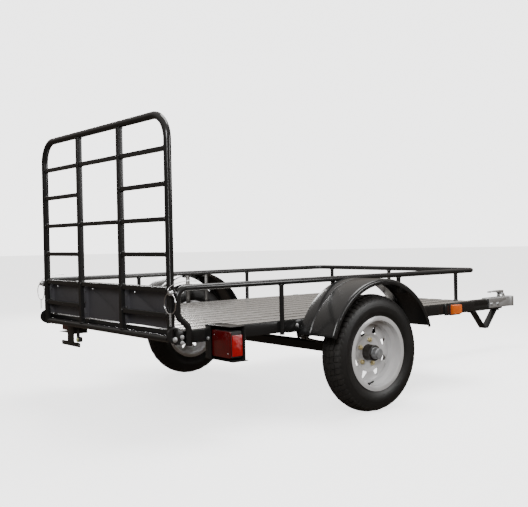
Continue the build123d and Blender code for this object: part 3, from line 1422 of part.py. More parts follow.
plate_top_z = frame_bottom_z
plate_y = at(plate_bracket_place)
with BuildPart() as plate_bracket:
    with Locations((plate_bracket_x, plate_y + plate_flange_shift, plate_top_z - plate_bracket_t / 2)):
        Box(plate_neck_w + 2 * plate_flange, plate_flange_len, plate_bracket_t)
    with Locations((plate_bracket_x, plate_y, (plate_top_z + plate_bar_z) / 2)):
        Box(plate_neck_w, plate_bracket_t, plate_top_z - plate_bar_z)
    with BuildSketch(Plane.XZ.offset(-(plate_y - plate_bracket_t / 2))):
        with Locations((plate_bracket_x, plate_bar_z)):
            RectangleRounded(plate_bracket_w, plate_bar_h, plate_corner_r)
    extrude(amount=-plate_bracket_t)
    with BuildSketch(Plane.XZ.offset(-(plate_y - plate_bracket_t))):
        with Locations(
            (plate_bracket_x - plate_hole_spacing / 2, plate_bar_z),
            (plate_bracket_x + plate_hole_spacing / 2, plate_bar_z),
        ):
            Circle(plate_hole_r)
    extrude(amount=-2 * plate_bracket_t, mode=Mode.SUBTRACT)
plate_bracket.part.label = "plate_bracket"
export_step(plate_bracket.part, "parts/plate_bracket.step")

plate_lamp_x = plate_bracket_x + plate_neck_w / 2 + plate_lamp_r + plate_lamp_gap
with BuildPart() as plate_lamp:
    with BuildSketch(Plane.XZ.offset(-(plate_y + plate_bracket_t))):
        with Locations((plate_lamp_x, plate_bar_z + plate_bar_h / 2 + plate_lamp_r)):
            Circle(plate_lamp_r)
    extrude(amount=-plate_lamp_len)
    arm_top_z = plate_top_z - plate_bracket_t
    arm_low_z = plate_bar_z + plate_bar_h / 2 + plate_lamp_r
    with Locations((plate_lamp_x - lamp_arm_back, plate_y + lamp_arm_shift, (arm_low_z + arm_top_z) / 2)):
        Box(lamp_arm_w, lamp_arm_t, arm_top_z - arm_low_z)
plate_lamp.part.label = "plate_lamp"
export_step(plate_lamp.part, "parts/plate_lamp.step")

with BuildPart() as marker_lamps:
    for s in (-1, 1):
        marker_x = bracket_x + marker_bracket_t
        with BuildSketch(Plane.YZ.offset(s * marker_x)):
            with Locations((at(marker_place), marker_centre_z)):
                RectangleRounded(marker_len, marker_h, marker_corner_r)
        extrude(amount=s * marker_t, taper=marker_taper)
marker_lamps.part.label = "marker_lamps"
export_step(marker_lamps.part, "parts/marker_lamps.step")

# ---------------------------------------------------------------- frame fasteners
brace_face_x = bracket_x + brace_t
with BuildPart() as frame_bolts:
    for s in (-1, 1):
        fixings = [
            (at(fender_bolt_place), frame_bottom_z + frame_depth / 2, bracket_x, frame_bolt_head_r),
            (at(ear_bolt_place), ear_bolt_z[0], ear_outer, ear_bolt_head_r),
            (at(ear_bolt_place), ear_bolt_z[1], ear_outer, ear_bolt_head_r),
            (wheel_y + brace_places[0], frame_bottom_z + frame_depth / 2, brace_face_x, frame_bolt_head_r),
            (wheel_y + brace_places[1], frame_bottom_z + frame_depth / 2, brace_face_x, frame_bolt_head_r),
        ]
        for bolt_y, bolt_z, face_x, head_r in fixings:
            with BuildSketch(Plane.YZ.offset(s * face_x)):
                with Locations((bolt_y, bolt_z)):
                    Circle(head_r)
            extrude(amount=s * frame_bolt_head_t, taper=bolt_head_taper)
frame_bolts.part.label = "frame_bolts"
export_step(frame_bolts.part, "parts/frame_bolts.step")
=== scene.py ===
"""Looks of a small open utility trailer with a fold-down ramp gate.

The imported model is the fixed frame, in metres: X to the right, Y forward to the coupler and
Z up from the ground. Each sub-assembly is a class that dresses its own nodes with finished
meshes and adds the small hardware that the plain solids leave out.
"""

import json
import logging
import math
from dataclasses import dataclass
from enum import Enum
from typing import Iterable, Optional, Sequence

import bmesh
import bpy
from mathutils import Matrix, Vector


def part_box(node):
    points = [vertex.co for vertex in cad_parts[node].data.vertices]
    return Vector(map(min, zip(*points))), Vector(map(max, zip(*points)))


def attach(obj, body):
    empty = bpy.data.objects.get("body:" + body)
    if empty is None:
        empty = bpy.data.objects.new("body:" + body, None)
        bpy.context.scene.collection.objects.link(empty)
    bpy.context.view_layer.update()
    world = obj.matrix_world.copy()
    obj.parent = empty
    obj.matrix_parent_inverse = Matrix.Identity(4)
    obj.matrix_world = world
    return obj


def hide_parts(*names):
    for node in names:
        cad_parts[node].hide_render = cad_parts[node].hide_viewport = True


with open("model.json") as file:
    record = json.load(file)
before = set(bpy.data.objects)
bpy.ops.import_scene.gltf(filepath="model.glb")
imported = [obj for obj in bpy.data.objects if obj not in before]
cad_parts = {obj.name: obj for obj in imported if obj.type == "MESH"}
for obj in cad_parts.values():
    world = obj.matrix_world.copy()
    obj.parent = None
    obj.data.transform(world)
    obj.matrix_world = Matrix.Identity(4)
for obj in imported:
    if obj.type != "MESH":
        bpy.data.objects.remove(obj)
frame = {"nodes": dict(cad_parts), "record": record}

LOG = logging.getLogger("trailer")
BODY_OF = {node: body for body, nodes in frame["record"]["behaviour"]["bodies"].items() for node in nodes}
Point = Sequence[float]


class Side(Enum):
    """A side of the trailer, with the sign of its X."""

    LEFT = -1
    RIGHT = 1

    @property
    def word(self) -> str:
        """The side's word in the names of nodes."""
        return self.name.lower()


# ------------------------------------------------------------------ finishes
class Nodes:
    """A short way to write one material's node tree."""

    def __init__(self, name: str) -> None:
        """Starts an empty material with a surface shader.

        Args:
            name: the material's name.
        """
        self.material = bpy.data.materials.new(name)
        self.material.use_nodes = True
        self.tree = self.material.node_tree
        self.tree.nodes.clear()
        self.shader = self.add("ShaderNodeBsdfPrincipled")
        self.output = self.add("ShaderNodeOutputMaterial")
        self.join(self.shader.outputs["BSDF"], self.output.inputs["Surface"])
        self.place = self.add("ShaderNodeTexCoord").outputs["Object"]

    def add(self, kind: str, **settings: object) -> bpy.types.Node:
        """Adds a node.

        Args:
            kind: the node's type.
            settings: attributes to set on it.

        Returns:
            The new node.
        """
        node = self.tree.nodes.new(kind)
        for name, value in settings.items():
            setattr(node, name, value)
        return node

    def join(self, source: bpy.types.NodeSocket, target: bpy.types.NodeSocket) -> None:
        """Links two sockets."""
        self.tree.links.new(source, target)

    def mapped(self, scale: Point = (1, 1, 1), centre: Point = (0, 0, 0)) -> bpy.types.NodeSocket:
        """Object coordinates about a centre, scaled.

        Args:
            scale: how much each axis is stretched.
            centre: the point that becomes the origin.

        Returns:
            The mapped coordinates.
        """
        mapping = self.add("ShaderNodeMapping")
        mapping.inputs["Scale"].default_value = scale
        mapping.inputs["Location"].default_value = [-c * s for c, s in zip(centre, scale)]
        self.join(self.place, mapping.inputs["Vector"])
        return mapping.outputs["Vector"]

    def noise(self, scale: float, detail: float = 2.0, place: Optional[bpy.types.NodeSocket] = None,
              roughness: float = 0.5) -> bpy.types.NodeSocket:
        """Fractal noise from 0 to 1.

        Args:
            scale: waves for each metre.
            detail: octaves.
            place: coordinates, or Object coordinates if none are given.
            roughness: how strong each finer octave is.

        Returns:
            The noise value.
        """
        node = self.add("ShaderNodeTexNoise")
        node.inputs["Scale"].default_value = scale
        node.inputs["Detail"].default_value = detail
        node.inputs["Roughness"].default_value = roughness
        self.join(place or self.place, node.inputs["Vector"])
        return node.outputs["Fac"]

    def ramp(self, value: bpy.types.NodeSocket, low: float, high: float,
             low_value: float = 0.0, high_value: float = 1.0) -> bpy.types.NodeSocket:
        """Maps a stretch of values to another, clamped.

        Args:
            value: what is mapped.
            low: the start of the stretch.
            high: its end.
            low_value: the result at the start.
            high_value: the result at the end.

        Returns:
            The mapped value.
        """
        node = self.add("ShaderNodeMapRange")
        self.join(value, node.inputs["Value"])
        limits = {"From Min": low, "From Max": high, "To Min": low_value, "To Max": high_value}
        for name, number in limits.items():
            node.inputs[name].default_value = number
        return node.outputs["Result"]

    def math(self, operation: str, first: object, second: object = None) -> bpy.types.NodeSocket:
        """A sum on sockets or numbers.

        Args:
            operation: the Math node's operation.
            first: a socket or a number.
            second: a socket, a number, or nothing.

        Returns:
            The result.
        """
        node = self.add("ShaderNodeMath", operation=operation)
        for index, value in enumerate((first, second)):
            if isinstance(value, bpy.types.NodeSocket):
                self.join(value, node.inputs[index])
            elif value is not None:
                node.inputs[index].default_value = value
        return node.outputs["Value"]

    def mix(self, factor: object, first: object, second: object) -> bpy.types.NodeSocket:
        """Mixes two colours.

        Args:
            factor: a socket or a number.
            first: a colour or a socket, shown at 0.
            second: a colour or a socket, shown at 1.

        Returns:
            The mixed colour.
        """
        node = self.add("ShaderNodeMix", data_type="RGBA")
        for name, value in ((0, factor), (6, first), (7, second)):
            if isinstance(value, bpy.types.NodeSocket):
                self.join(value, node.inputs[name])
            elif name == 0:
                node.inputs[name].default_value = value
            else:
                node.inputs[name].default_value = (*value, 1.0)
        return node.outputs[2]

    def bump(self, height: bpy.types.NodeSocket, distance: float, strength: float = 1.0,
             under: Optional[bpy.types.NodeSocket] = None) -> bpy.types.NodeSocket:
        """Turns a height into a normal.

        Args:
            height: from 0 to 1.
            distance: the relief in metres.
            strength: how much of it shows.
            under: a normal below this one.

        Returns:
            The bumped normal.
        """
        node = self.add("ShaderNodeBump")
        node.inputs["Distance"].default_value = distance
        node.inputs["Strength"].default_value = strength
        self.join(height, node.inputs["Height"])
        if under is not None:
            self.join(under, node.inputs["Normal"])
        return node.outputs["Normal"]

    def set(self, **values: object) -> None:
        """Sets or links the surface shader's sockets.

        Args:
            values: socket names, with _ for a space, and a number, a colour or a socket each.
        """
        for name, value in values.items():
            socket = self.shader.inputs[name.replace("_", " ")]
            if isinstance(value, bpy.types.NodeSocket):
                self.join(value, socket)
            elif isinstance(value, tuple) and len(value) == 3 and socket.type == "RGBA":
                socket.default_value = (*value, 1.0)
            else:
                socket.default_value = value


@dataclass(frozen=True)
class Finish:
    """A painted, plated or moulded surface.

    Two close colours drift over each other, the roughness wanders, a fine grain gives relief, and
    worn edges show what is under the coat.
    """

    name: str
    colour: tuple[float, float, float]
    second: tuple[float, float, float]
    drift: float = 6.0
    metallic: float = 0.0
    smooth: float = 0.2
    rough: float = 0.35
    grain: float = 700.0
    relief: float = 0.00004
    coat: float = 0.0
    coat_roughness: float = 0.08
    dust: float = 0.0
    dust_colour: tuple[float, float, float] = (0.23, 0.2, 0.17)
    wear: float = 0.0
    wear_colour: tuple[float, float, float] = (0.3, 0.29, 0.28)
    stretch: tuple[float, float, float] = (1.0, 1.0, 1.0)
    specular: float = 0.5

    def material(self) -> bpy.types.Material:
        """Builds the material once and returns it."""
        made = bpy.data.materials.get(self.name)
        if made:
            return made
        nodes = Nodes(self.name)
        place = nodes.mapped(self.stretch)
        patches = nodes.noise(self.drift, 4.0, place)
        colour = nodes.mix(nodes.ramp(patches, 0.35, 0.65), self.colour, self.second)
        wander = nodes.noise(self.drift * 3.7, 5.0, place, 0.6)
        roughness = nodes.ramp(wander, 0.3, 0.7, self.smooth, self.rough)
        if self.dust:
            specks = nodes.noise(self.drift * 21.0, 6.0, place, 0.7)
            settled = nodes.ramp(specks, 0.52, 0.74, 0.0, self.dust)
            colour = nodes.mix(settled, colour, self.dust_colour)
        if self.wear:
            edge = nodes.add("ShaderNodeNewGeometry").outputs["Pointiness"]
            sharp = nodes.ramp(edge, 0.54, 0.62)
            broken = nodes.ramp(nodes.noise(160.0, 4.0), 0.45, 0.6)
            rubbed = nodes.math("MULTIPLY", nodes.math("MULTIPLY", sharp, broken), self.wear)
            colour = nodes.mix(rubbed, colour, self.wear_colour)
        height = nodes.noise(self.grain, 3.0, place)
        nodes.set(Base_Color=colour, Roughness=roughness, Metallic=self.metallic,
                  Coat_Weight=self.coat, Coat_Roughness=self.coat_roughness, Specular_IOR_Level=self.specular,
                  Normal=nodes.bump(height, self.relief))
        return nodes.material


POWDER_BLACK = Finish("black_powder_coat", (0.0042, 0.0034, 0.0028), (0.0062, 0.0051, 0.0042), drift=3.0,
                      smooth=0.13, rough=0.22, grain=420.0, relief=0.00003, coat=0.25,
                      coat_roughness=0.07, dust=0.03, dust_colour=(0.02, 0.016, 0.012), specular=0.42)
POWDER_CHARCOAL = Finish("charcoal_powder_coat", (0.0105, 0.0088, 0.0077), (0.0145, 0.0122, 0.0105),
                         drift=2.4, smooth=0.36, rough=0.5, grain=900.0, relief=0.00004, dust=0.06,
                         dust_colour=(0.03, 0.025, 0.021), specular=0.3)
RIM_WHITE = Finish("white_rim_paint", (0.6, 0.6, 0.605), (0.53, 0.53, 0.535), drift=9.0, smooth=0.16,
                   rough=0.28, grain=600.0, relief=0.00003, coat=0.4, dust=0.1,
                   dust_colour=(0.45, 0.42, 0.38))
ZINC = Finish("zinc_plate", (0.4, 0.405, 0.41), (0.26, 0.265, 0.27), drift=34.0, metallic=1.0,
              smooth=0.24, rough=0.44, grain=420.0, relief=0.00006, dust=0.12,
              dust_colour=(0.3, 0.29, 0.26))
GOLD_ZINC = Finish("gold_zinc", (0.5, 0.25, 0.03), (0.4, 0.24, 0.06), drift=60.0, metallic=1.0,
                   smooth=0.2, rough=0.38, grain=600.0, relief=0.00004)
OLIVE_ZINC = Finish("olive_zinc", (0.34, 0.31, 0.11), (0.2, 0.2, 0.1), drift=40.0, metallic=0.9,
                    smooth=0.28, rough=0.45, grain=500.0, relief=0.00005)
GALVANISED = Finish("galvanised_steel", (0.4, 0.41, 0.42), (0.27, 0.28, 0.29), drift=55.0, metallic=0.9,
                    smooth=0.36, rough=0.6, grain=300.0, relief=0.00012, dust=0.3,
                    dust_colour=(0.2, 0.19, 0.17))
STRAP_STEEL = Finish("strap_steel", (0.11, 0.107, 0.104), (0.06, 0.058, 0.055), drift=30.0, metallic=1.0,
                     smooth=0.26, rough=0.42, grain=500.0, relief=0.00005)
BARE_STEEL = Finish("bare_steel", (0.46, 0.46, 0.46), (0.36, 0.35, 0.34), drift=30.0, metallic=1.0,
                    smooth=0.25, rough=0.42, grain=500.0, relief=0.00005)
WIRE = Finish("bright_wire", (0.74, 0.75, 0.77), (0.6, 0.61, 0.64), drift=50.0, metallic=1.0, smooth=0.1,
              rough=0.22, grain=500.0, relief=0.00003)
HUB_BLACK = Finish("hub_black", (0.012, 0.011, 0.0105), (0.026, 0.023, 0.021), drift=26.0, smooth=0.32,
                   rough=0.55, grain=320.0, relief=0.00022, wear=0.4)
PLASTIC_BLACK = Finish("black_plastic", (0.013, 0.013, 0.014), (0.02, 0.02, 0.021), drift=16.0,
                       smooth=0.38, rough=0.52, grain=1500.0, relief=0.00005)
VALVE_RUBBER = Finish("valve_rubber", (0.012, 0.012, 0.012), (0.02, 0.02, 0.02), drift=30.0, smooth=0.5,
                      rough=0.7, grain=900.0, relief=0.00004)


@dataclass(frozen=True)
class DeckFinish:
    """Bright rolled sheet, streaked along the planks, darker in the scuffs, with painted shade in the grooves
    between the planks.
    """

    top_z: float
    name: str = "rolled_deck_sheet"
    colour: tuple[float, float, float] = (0.52, 0.505, 0.48)
    second: tuple[float, float, float] = (0.36, 0.345, 0.325)
    # painted shade: the near-black colour laid into the grooves below the plank tops
    groove: tuple[float, float, float] = (0.012, 0.0105, 0.009)

    def material(self) -> bpy.types.Material:
        """Builds the material once and returns it."""
        made = bpy.data.materials.get(self.name)
        if made:
            return made
        nodes = Nodes(self.name)
        along = nodes.mapped((160.0, 1.3, 160.0))
        streaks = nodes.noise(1.0, 5.0, along, 0.65)
        scuffs = nodes.ramp(nodes.noise(9.0, 7.0, None, 0.7), 0.5, 0.7, 0.0, 0.55)
        colour = nodes.mix(nodes.ramp(streaks, 0.3, 0.7), self.colour, self.second)
        colour = nodes.mix(scuffs, colour, (0.17, 0.158, 0.145))
        apart = nodes.add("ShaderNodeSeparateXYZ")
        nodes.join(nodes.place, apart.inputs["Vector"])
        # painted shade: below the plank tops, in the grooves, the sheet's colour goes near black
        depth = nodes.ramp(apart.outputs["Z"], self.top_z - 0.0014, self.top_z - 0.0003, 1.0, 0.0)
        colour = nodes.mix(depth, colour, self.groove)
        roughness = nodes.math("ADD", nodes.ramp(streaks, 0.3, 0.7, 0.16, 0.3),
                               nodes.math("MULTIPLY", scuffs, 0.25))
        waves = nodes.bump(nodes.noise(7.0, 2.0), 0.0012)
        nodes.set(Base_Color=colour, Metallic=0.55, Roughness=roughness,
                  Normal=nodes.bump(streaks, 0.00005, 1.0, waves))
        return nodes.material


@dataclass(frozen=True)
class TyreFinish:
    """Black rubber round one wheel: a satin flank with moulded rings and a drier, dusty tread."""

    name: str
    centre: tuple[float, float, float]
    tread_r: float
    flank_low: float
    flank_high: float

    def material(self) -> bpy.types.Material:
        """Builds the material and returns it."""
        nodes = Nodes(self.name)
        apart = nodes.add("ShaderNodeSeparateXYZ")
        nodes.join(nodes.mapped(centre=self.centre), apart.inputs["Vector"])
        square_y = nodes.math("MULTIPLY", apart.outputs["Y"], apart.outputs["Y"])
        square_z = nodes.math("MULTIPLY", apart.outputs["Z"], apart.outputs["Z"])
        radius = nodes.math("SQRT", nodes.math("ADD", square_y, square_z))
        tread = nodes.ramp(radius, self.tread_r - 0.012, self.tread_r)
        flank = nodes.math("MULTIPLY", nodes.ramp(radius, self.flank_low, self.flank_low + 0.004),
                           nodes.ramp(radius, self.flank_high, self.flank_high - 0.004))
        rings = nodes.math("MULTIPLY", nodes.math("SINE", nodes.math("MULTIPLY", radius, 1250.0)), flank)
        dust = nodes.ramp(nodes.noise(24.0, 7.0, None, 0.7), 0.45, 0.75, 0.0, 0.22)
        colour = nodes.mix(tread, (0.0085, 0.0083, 0.008), (0.016, 0.0152, 0.0145))
        settled = nodes.math("MULTIPLY", dust, nodes.ramp(tread, 0, 1, 0.35, 1.0))
        colour = nodes.mix(settled, colour, (0.07, 0.062, 0.052))
        roughness = nodes.math("ADD", nodes.ramp(tread, 0, 1, 0.4, 0.62), nodes.math("MULTIPLY", dust, 0.2))
        skin = nodes.bump(nodes.noise(850.0, 3.0), 0.00009)
        nodes.set(Base_Color=colour, Roughness=roughness, Specular_IOR_Level=0.4,
                  Normal=nodes.bump(rings, 0.00035, 0.6, skin))
        return nodes.material


@dataclass(frozen=True)
class LensFinish:
    """Clear coloured plastic over a moulded grid of small prisms, with painted shade deepening the colour in
    the prisms' valleys.
    """

    name: str
    colour: tuple[float, float, float]
    # the deep tint painted into the prisms' valleys as shade
    deep: tuple[float, float, float]
    prisms: tuple[float, float, float]
    relief: float = 0.0005

    def material(self) -> bpy.types.Material:
        """Builds the material once and returns it."""
        made = bpy.data.materials.get(self.name)
        if made:
            return made
        nodes = Nodes(self.name)
        apart = nodes.add("ShaderNodeSeparateXYZ")
        nodes.join(nodes.place, apart.inputs["Vector"])
        height = None
        for letter, scale in zip("XYZ", self.prisms):
            if scale:
                place = nodes.math("MULTIPLY", apart.outputs[letter], scale)
                wave = nodes.math("ABSOLUTE", nodes.math("SINE", place))
                height = wave if height is None else nodes.math("MULTIPLY", height, wave)
        blotches = nodes.ramp(nodes.noise(28.0, 4.0), 0.35, 0.7)
        # painted shade: the colour goes towards the deep tint in the prisms' valleys, by an amount that
        # wanders in blotches
        painted_prism_shade = nodes.math("MULTIPLY", nodes.ramp(height, 0.0, 0.9, 1.0, 0.25),
                           nodes.ramp(blotches, 0, 1, 0.5, 1.0))
        nodes.set(Base_Color=nodes.mix(painted_prism_shade, self.colour, self.deep),
                  Roughness=nodes.ramp(blotches, 0, 1, 0.07, 0.16), Coat_Weight=0.6, Coat_Roughness=0.04,
                  Normal=nodes.bump(height, self.relief, 0.5))
        return nodes.material


DECK_SHEET = DeckFinish(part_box("deck_planks")[1].z)
LENS_RED = LensFinish("tail_lens_red", (0.12, 0.002, 0.003), (0.035, 0.0007, 0.001), (620.0, 0.0, 620.0))
LENS_BRIGHT = LensFinish("side_lens_red", (0.48, 0.004, 0.007), (0.22, 0.002, 0.003), (0.0, 760.0, 760.0))
LENS_AMBER = LensFinish("marker_lens_amber", (0.95, 0.2, 0.02), (0.6, 0.08, 0.006), (0.0, 560.0, 560.0))
LENS_PLATE = LensFinish("plate_lamp_lens", (0.62, 0.68, 0.3), (0.36, 0.42, 0.12), (520.0, 0.0, 520.0))


# ------------------------------------------------------------------ mesh work
def turned(origin: Point, axis: Point, roll: float = 0.0) -> Matrix:
    """A place whose Z runs along an axis.

    Args:
        origin: the place, in metres.
        axis: the direction Z takes.
        roll: a turn about that axis, in radians.

    Returns:
        The matrix.
    """
    turn = Vector(axis).to_track_quat("Z", "Y").to_matrix().to_4x4()
    return Matrix.Translation(origin) @ turn @ Matrix.Rotation(roll, 4, "Z")


def bevel_sharp(bm: bmesh.types.BMesh, width: float, segments: int = 2, least: float = 0.5) -> None:
    """Rounds every edge sharper than an angle.

    Args:
        bm: the mesh.
        width: the round's width in metres.
        segments: faces across it.
        least: the smallest angle that counts, in radians.
    """
    sharp = [e for e in bm.edges if len(e.link_faces) == 2 and e.calc_face_angle(0.0) > least]
    bmesh.ops.bevel(bm, geom=sharp, offset=width, offset_type="OFFSET", segments=segments, profile=0.5,
                    affect="EDGES", clamp_overlap=True, material=-1)


def keep_piece(bm: bmesh.types.BMesh, name: str, material: bpy.types.Material, body: str,
               nodes: Iterable[str] = (), angle: float = 0.6) -> bpy.types.Object:
    """Turns a bmesh into a finished piece that rides on a body.

    Args:
        bm: the mesh, which is freed.
        name: the piece's name.
        material: its material.
        body: the CAD body it rides on.
        nodes: the CAD nodes it stands for.
        angle: edges sharper than this stay sharp, in radians.

    Returns:
        The new object.
    """
    mesh = bpy.data.meshes.new(name)
    bm.to_mesh(mesh)
    bm.free()
    mesh.materials.append(material)
    mesh.polygons.foreach_set("use_smooth", [True] * len(mesh.polygons))
    mesh.set_sharp_from_angle(angle=angle)
    piece = bpy.data.objects.new(name, mesh)
    bpy.context.scene.collection.objects.link(piece)
    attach(piece, body)
    if nodes:
        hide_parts(*nodes)
    LOG.info("%s: %d faces on %s", name, len(mesh.polygons), body)
    return piece


def dress(node: str, material: bpy.types.Material, width: float = 0.0, segments: int = 2,
          least: float = 0.5, angle: float = 0.6) -> bpy.types.Object:
    """Finishes a CAD node: a merged copy with rounded edges and a material takes its place.

    Args:
        node: the CAD node.
        material: the finish.
        width: how far its sharp edges are rounded, or 0 for none.
        segments: faces across each round.
        least: the smallest angle that is rounded, in radians.
        angle: edges sharper than this stay sharp.

    Returns:
        The new object.
    """
    bm = bmesh.new()
    bm.from_mesh(frame["nodes"][node].data)
    bmesh.ops.remove_doubles(bm, verts=bm.verts, dist=1e-6)
    bmesh.ops.dissolve_limit(bm, angle_limit=0.01, verts=bm.verts, edges=bm.edges)
    if width:
        bevel_sharp(bm, width, segments, least)
    return keep_piece(bm, f"{node}_finished", material, BODY_OF[node], (node,), angle)


def add_drum(bm: bmesh.types.BMesh, origin: Point, axis: Point, radius: float, length: float, sides: int = 24,
             top: Optional[float] = None, roll: float = 0.0, chamfer: float = 0.0) -> None:
    """Adds a drum, cone or prism standing on a point.

    Args:
        bm: the mesh it joins.
        origin: the centre of its foot.
        axis: the way it stands.
        radius: its radius at the foot.
        length: its height.
        sides: its sides.
        top: its radius at the top, if that differs.
        roll: a turn about the axis.
        chamfer: how far its rim edges are cut.
    """
    start = len(bm.verts)
    place = turned(origin, axis, roll) @ Matrix.Translation((0, 0, length / 2))
    bmesh.ops.create_cone(bm, cap_ends=True, segments=sides, radius1=radius,
                          radius2=radius if top is None else top, depth=length, matrix=place)
    if chamfer:
        bm.verts.ensure_lookup_table()
        fresh = set(bm.verts[start:])
        way = Vector(axis).normalized()
        rims = {e for v in fresh for e in v.link_edges
                if abs((e.verts[0].co - e.verts[1].co).normalized() @ way) < 0.5}
        bmesh.ops.bevel(bm, geom=list(rims), offset=chamfer, offset_type="OFFSET", segments=2, profile=0.5,
                        affect="EDGES", clamp_overlap=True, material=-1)


def add_ring(bm: bmesh.types.BMesh, origin: Point, axis: Point, ring_r: float, wire_r: float, steps: int = 48,
             sides: int = 10, squash: float = 1.0, wobble: float = 0.0) -> None:
    """Adds a round ring of wire, or a bead of weld if it wobbles.

    Args:
        bm: the mesh it joins.
        origin: its centre.
        axis: the way its hole faces.
        ring_r: the radius of the wire's line.
        wire_r: the wire's radius.
        steps: steps round the ring.
        sides: sides of the wire.
        squash: the ring's second radius over its first.
        wobble: how much the wire's thickness wanders, as a share.
    """
    ring = bmesh.new()
    section = Matrix.Translation((ring_r, 0, 0)) @ Matrix.Rotation(math.pi / 2, 4, "X")
    bmesh.ops.create_circle(ring, segments=sides, radius=wire_r, matrix=section)
    bmesh.ops.spin(ring, geom=[*ring.verts, *ring.edges], cent=(0, 0, 0), axis=(0, 0, 1), dvec=(0, 0, 0),
                   angle=2 * math.pi, steps=steps, use_merge=True, use_duplicate=False)
    bmesh.ops.recalc_face_normals(ring, faces=ring.faces)
    for vert in ring.verts:
        line = Vector((vert.co.x, vert.co.y, 0)).normalized() * ring_r
        if wobble:
            ripple = math.sin(math.atan2(line.y, line.x) * round(ring_r / wire_r * 3))
            vert.co = line + (vert.co - line) * (1 + wobble * ripple)
        vert.co.y *= squash
    ring.transform(turned(origin, axis))
    spare = bpy.data.meshes.new("spare")
    ring.to_mesh(spare)
    ring.free()
    bm.from_mesh(spare)
    bpy.data.meshes.remove(spare)


def add_block(bm: bmesh.types.BMesh, low: Point, high: Point, bevel: float = 0.0) -> None:
    """Adds a block between two corners.

    Args:
        bm: the mesh it joins.
        low: its lowest corner.
        high: its highest corner.
        bevel: how far its edges are rounded.
    """
    low, high = Vector(low), Vector(high)
    size = high - low
    place = Matrix.Translation((low + high) / 2) @ Matrix.Diagonal((*size, 1.0))
    made = bmesh.ops.create_cube(bm, size=1.0, matrix=place)
    if bevel:
        edges = {e for v in made["verts"] for e in v.link_edges}
        bmesh.ops.bevel(bm, geom=list(edges), offset=bevel, offset_type="OFFSET", segments=2, profile=0.5,
                        affect="EDGES", clamp_overlap=True, material=-1)


def add_bolt(bm: bmesh.types.BMesh, origin: Point, axis: Point, across: float, height: float,
             roll: float = 0.0, washer: float = 1.25, stud: float = 0.0) -> None:
    """Adds a hexagon head or nut on a washer.

    Args:
        bm: the mesh it joins.
        origin: the centre of the face that the washer lies on.
        axis: the way the head stands.
        across: the distance across its flats.
        height: the head's height.
        roll: a turn about the axis.
        washer: the washer's radius over the head's.
        stud: how far a thread stands out of a nut.
    """
    origin, way = Vector(origin), Vector(axis).normalized()
    corner = across / math.sqrt(3)
    sheet = height * 0.22
    add_drum(bm, origin, way, corner * washer, sheet, 28, chamfer=sheet * 0.25)
    add_drum(bm, origin + way * sheet, way, corner, height, 6, roll=roll)
    crown = origin + way * (sheet + height * 0.96)
    add_drum(bm, crown, way, across * 0.46, height * 0.08, 24, top=across * 0.4)
    if stud:
        add_drum(bm, origin + way * (sheet + height), way, across * 0.28, stud, 16, chamfer=across * 0.04)


def wire_along(name: str, points: Sequence[Point], radius: float, sides: int = 3) -> bmesh.types.BMesh:
    """A smooth round wire through a few guide points.

    Args:
        name: a name for the passing curve.
        points: the guide points.
        radius: the wire's radius.
        sides: how finely it is rounded.

    Returns:
        A bmesh of the wire.
    """
    curve = bpy.data.curves.new(name, "CURVE")
    curve.dimensions = "3D"
    curve.bevel_depth = radius
    curve.bevel_resolution = sides
    curve.use_fill_caps = True
    curve.resolution_u = 10
    spline = curve.splines.new("NURBS")
    spline.points.add(len(points) - 1)
    for point, place in zip(spline.points, points):
        point.co = (*place, 1.0)
    spline.order_u = 3
    spline.use_endpoint_u = True
    carrier = bpy.data.objects.new(name, curve)
    mesh = bpy.data.meshes.new_from_object(carrier)
    bm = bmesh.new()
    bm.from_mesh(mesh)
    bpy.data.objects.remove(carrier)
    bpy.data.curves.remove(curve)
    bpy.data.meshes.remove(mesh)
    return bm


# ------------------------------------------------------------------ sub-assemblies
@dataclass
class DeckFrame:
    """The ribbed deck, the angle-iron frame round it and the tubes under it."""

    edge: float = 0.0022
    plank_bend: float = 0.0024
    sheet_edge: float = 0.0008

    def build(self) -> None:
        """Dresses the frame and the deck."""
        for node in ("side_rail_left", "side_rail_right", "front_rail"):
            dress(node, POWDER_BLACK.material(), self.edge)
        for node in ("rear_beam", "cross_tubes"):
            dress(node, POWDER_BLACK.material(), self.sheet_edge)
        dress("deck_planks", DECK_SHEET.material(), self.plank_bend, segments=3)
        self.bolts()

    def bolts(self) -> None:
        """Hexagon bolts on washers where the plain heads stand."""
        bm = bmesh.new()
        for centre, face, side in self.heads():
            add_bolt(bm, (side * face, centre.y, centre.z), (side, 0, 0), 0.013, 0.0042, roll=centre.y * 9)
        keep_piece(bm, "frame_bolts_finished", ZINC.material(), "chassis", ("frame_bolts",))

    def heads(self) -> list[tuple[Vector, float, int]]:
        """Finds each plain bolt head.

        Returns:
            Its centre, its face's distance from the centreline, and its side.
        """
        bm = bmesh.new()
        bm.from_mesh(frame["nodes"]["frame_bolts"].data)
        bmesh.ops.remove_doubles(bm, verts=bm.verts, dist=1e-6)
        found, left = [], set(bm.verts)
        while left:
            island, queue = set(), [left.pop()]
            while queue:
                vert = queue.pop()
                island.add(vert)
                near = {e.other_vert(vert) for e in vert.link_edges} - island
                queue.extend(near & left)
                left -= near
            centre = sum((v.co for v in island), Vector()) / len(island)
            face = min(abs(v.co.x) for v in island)
            found.append((centre, face, 1 if centre.x > 0 else -1))
        bm.free()
        return found


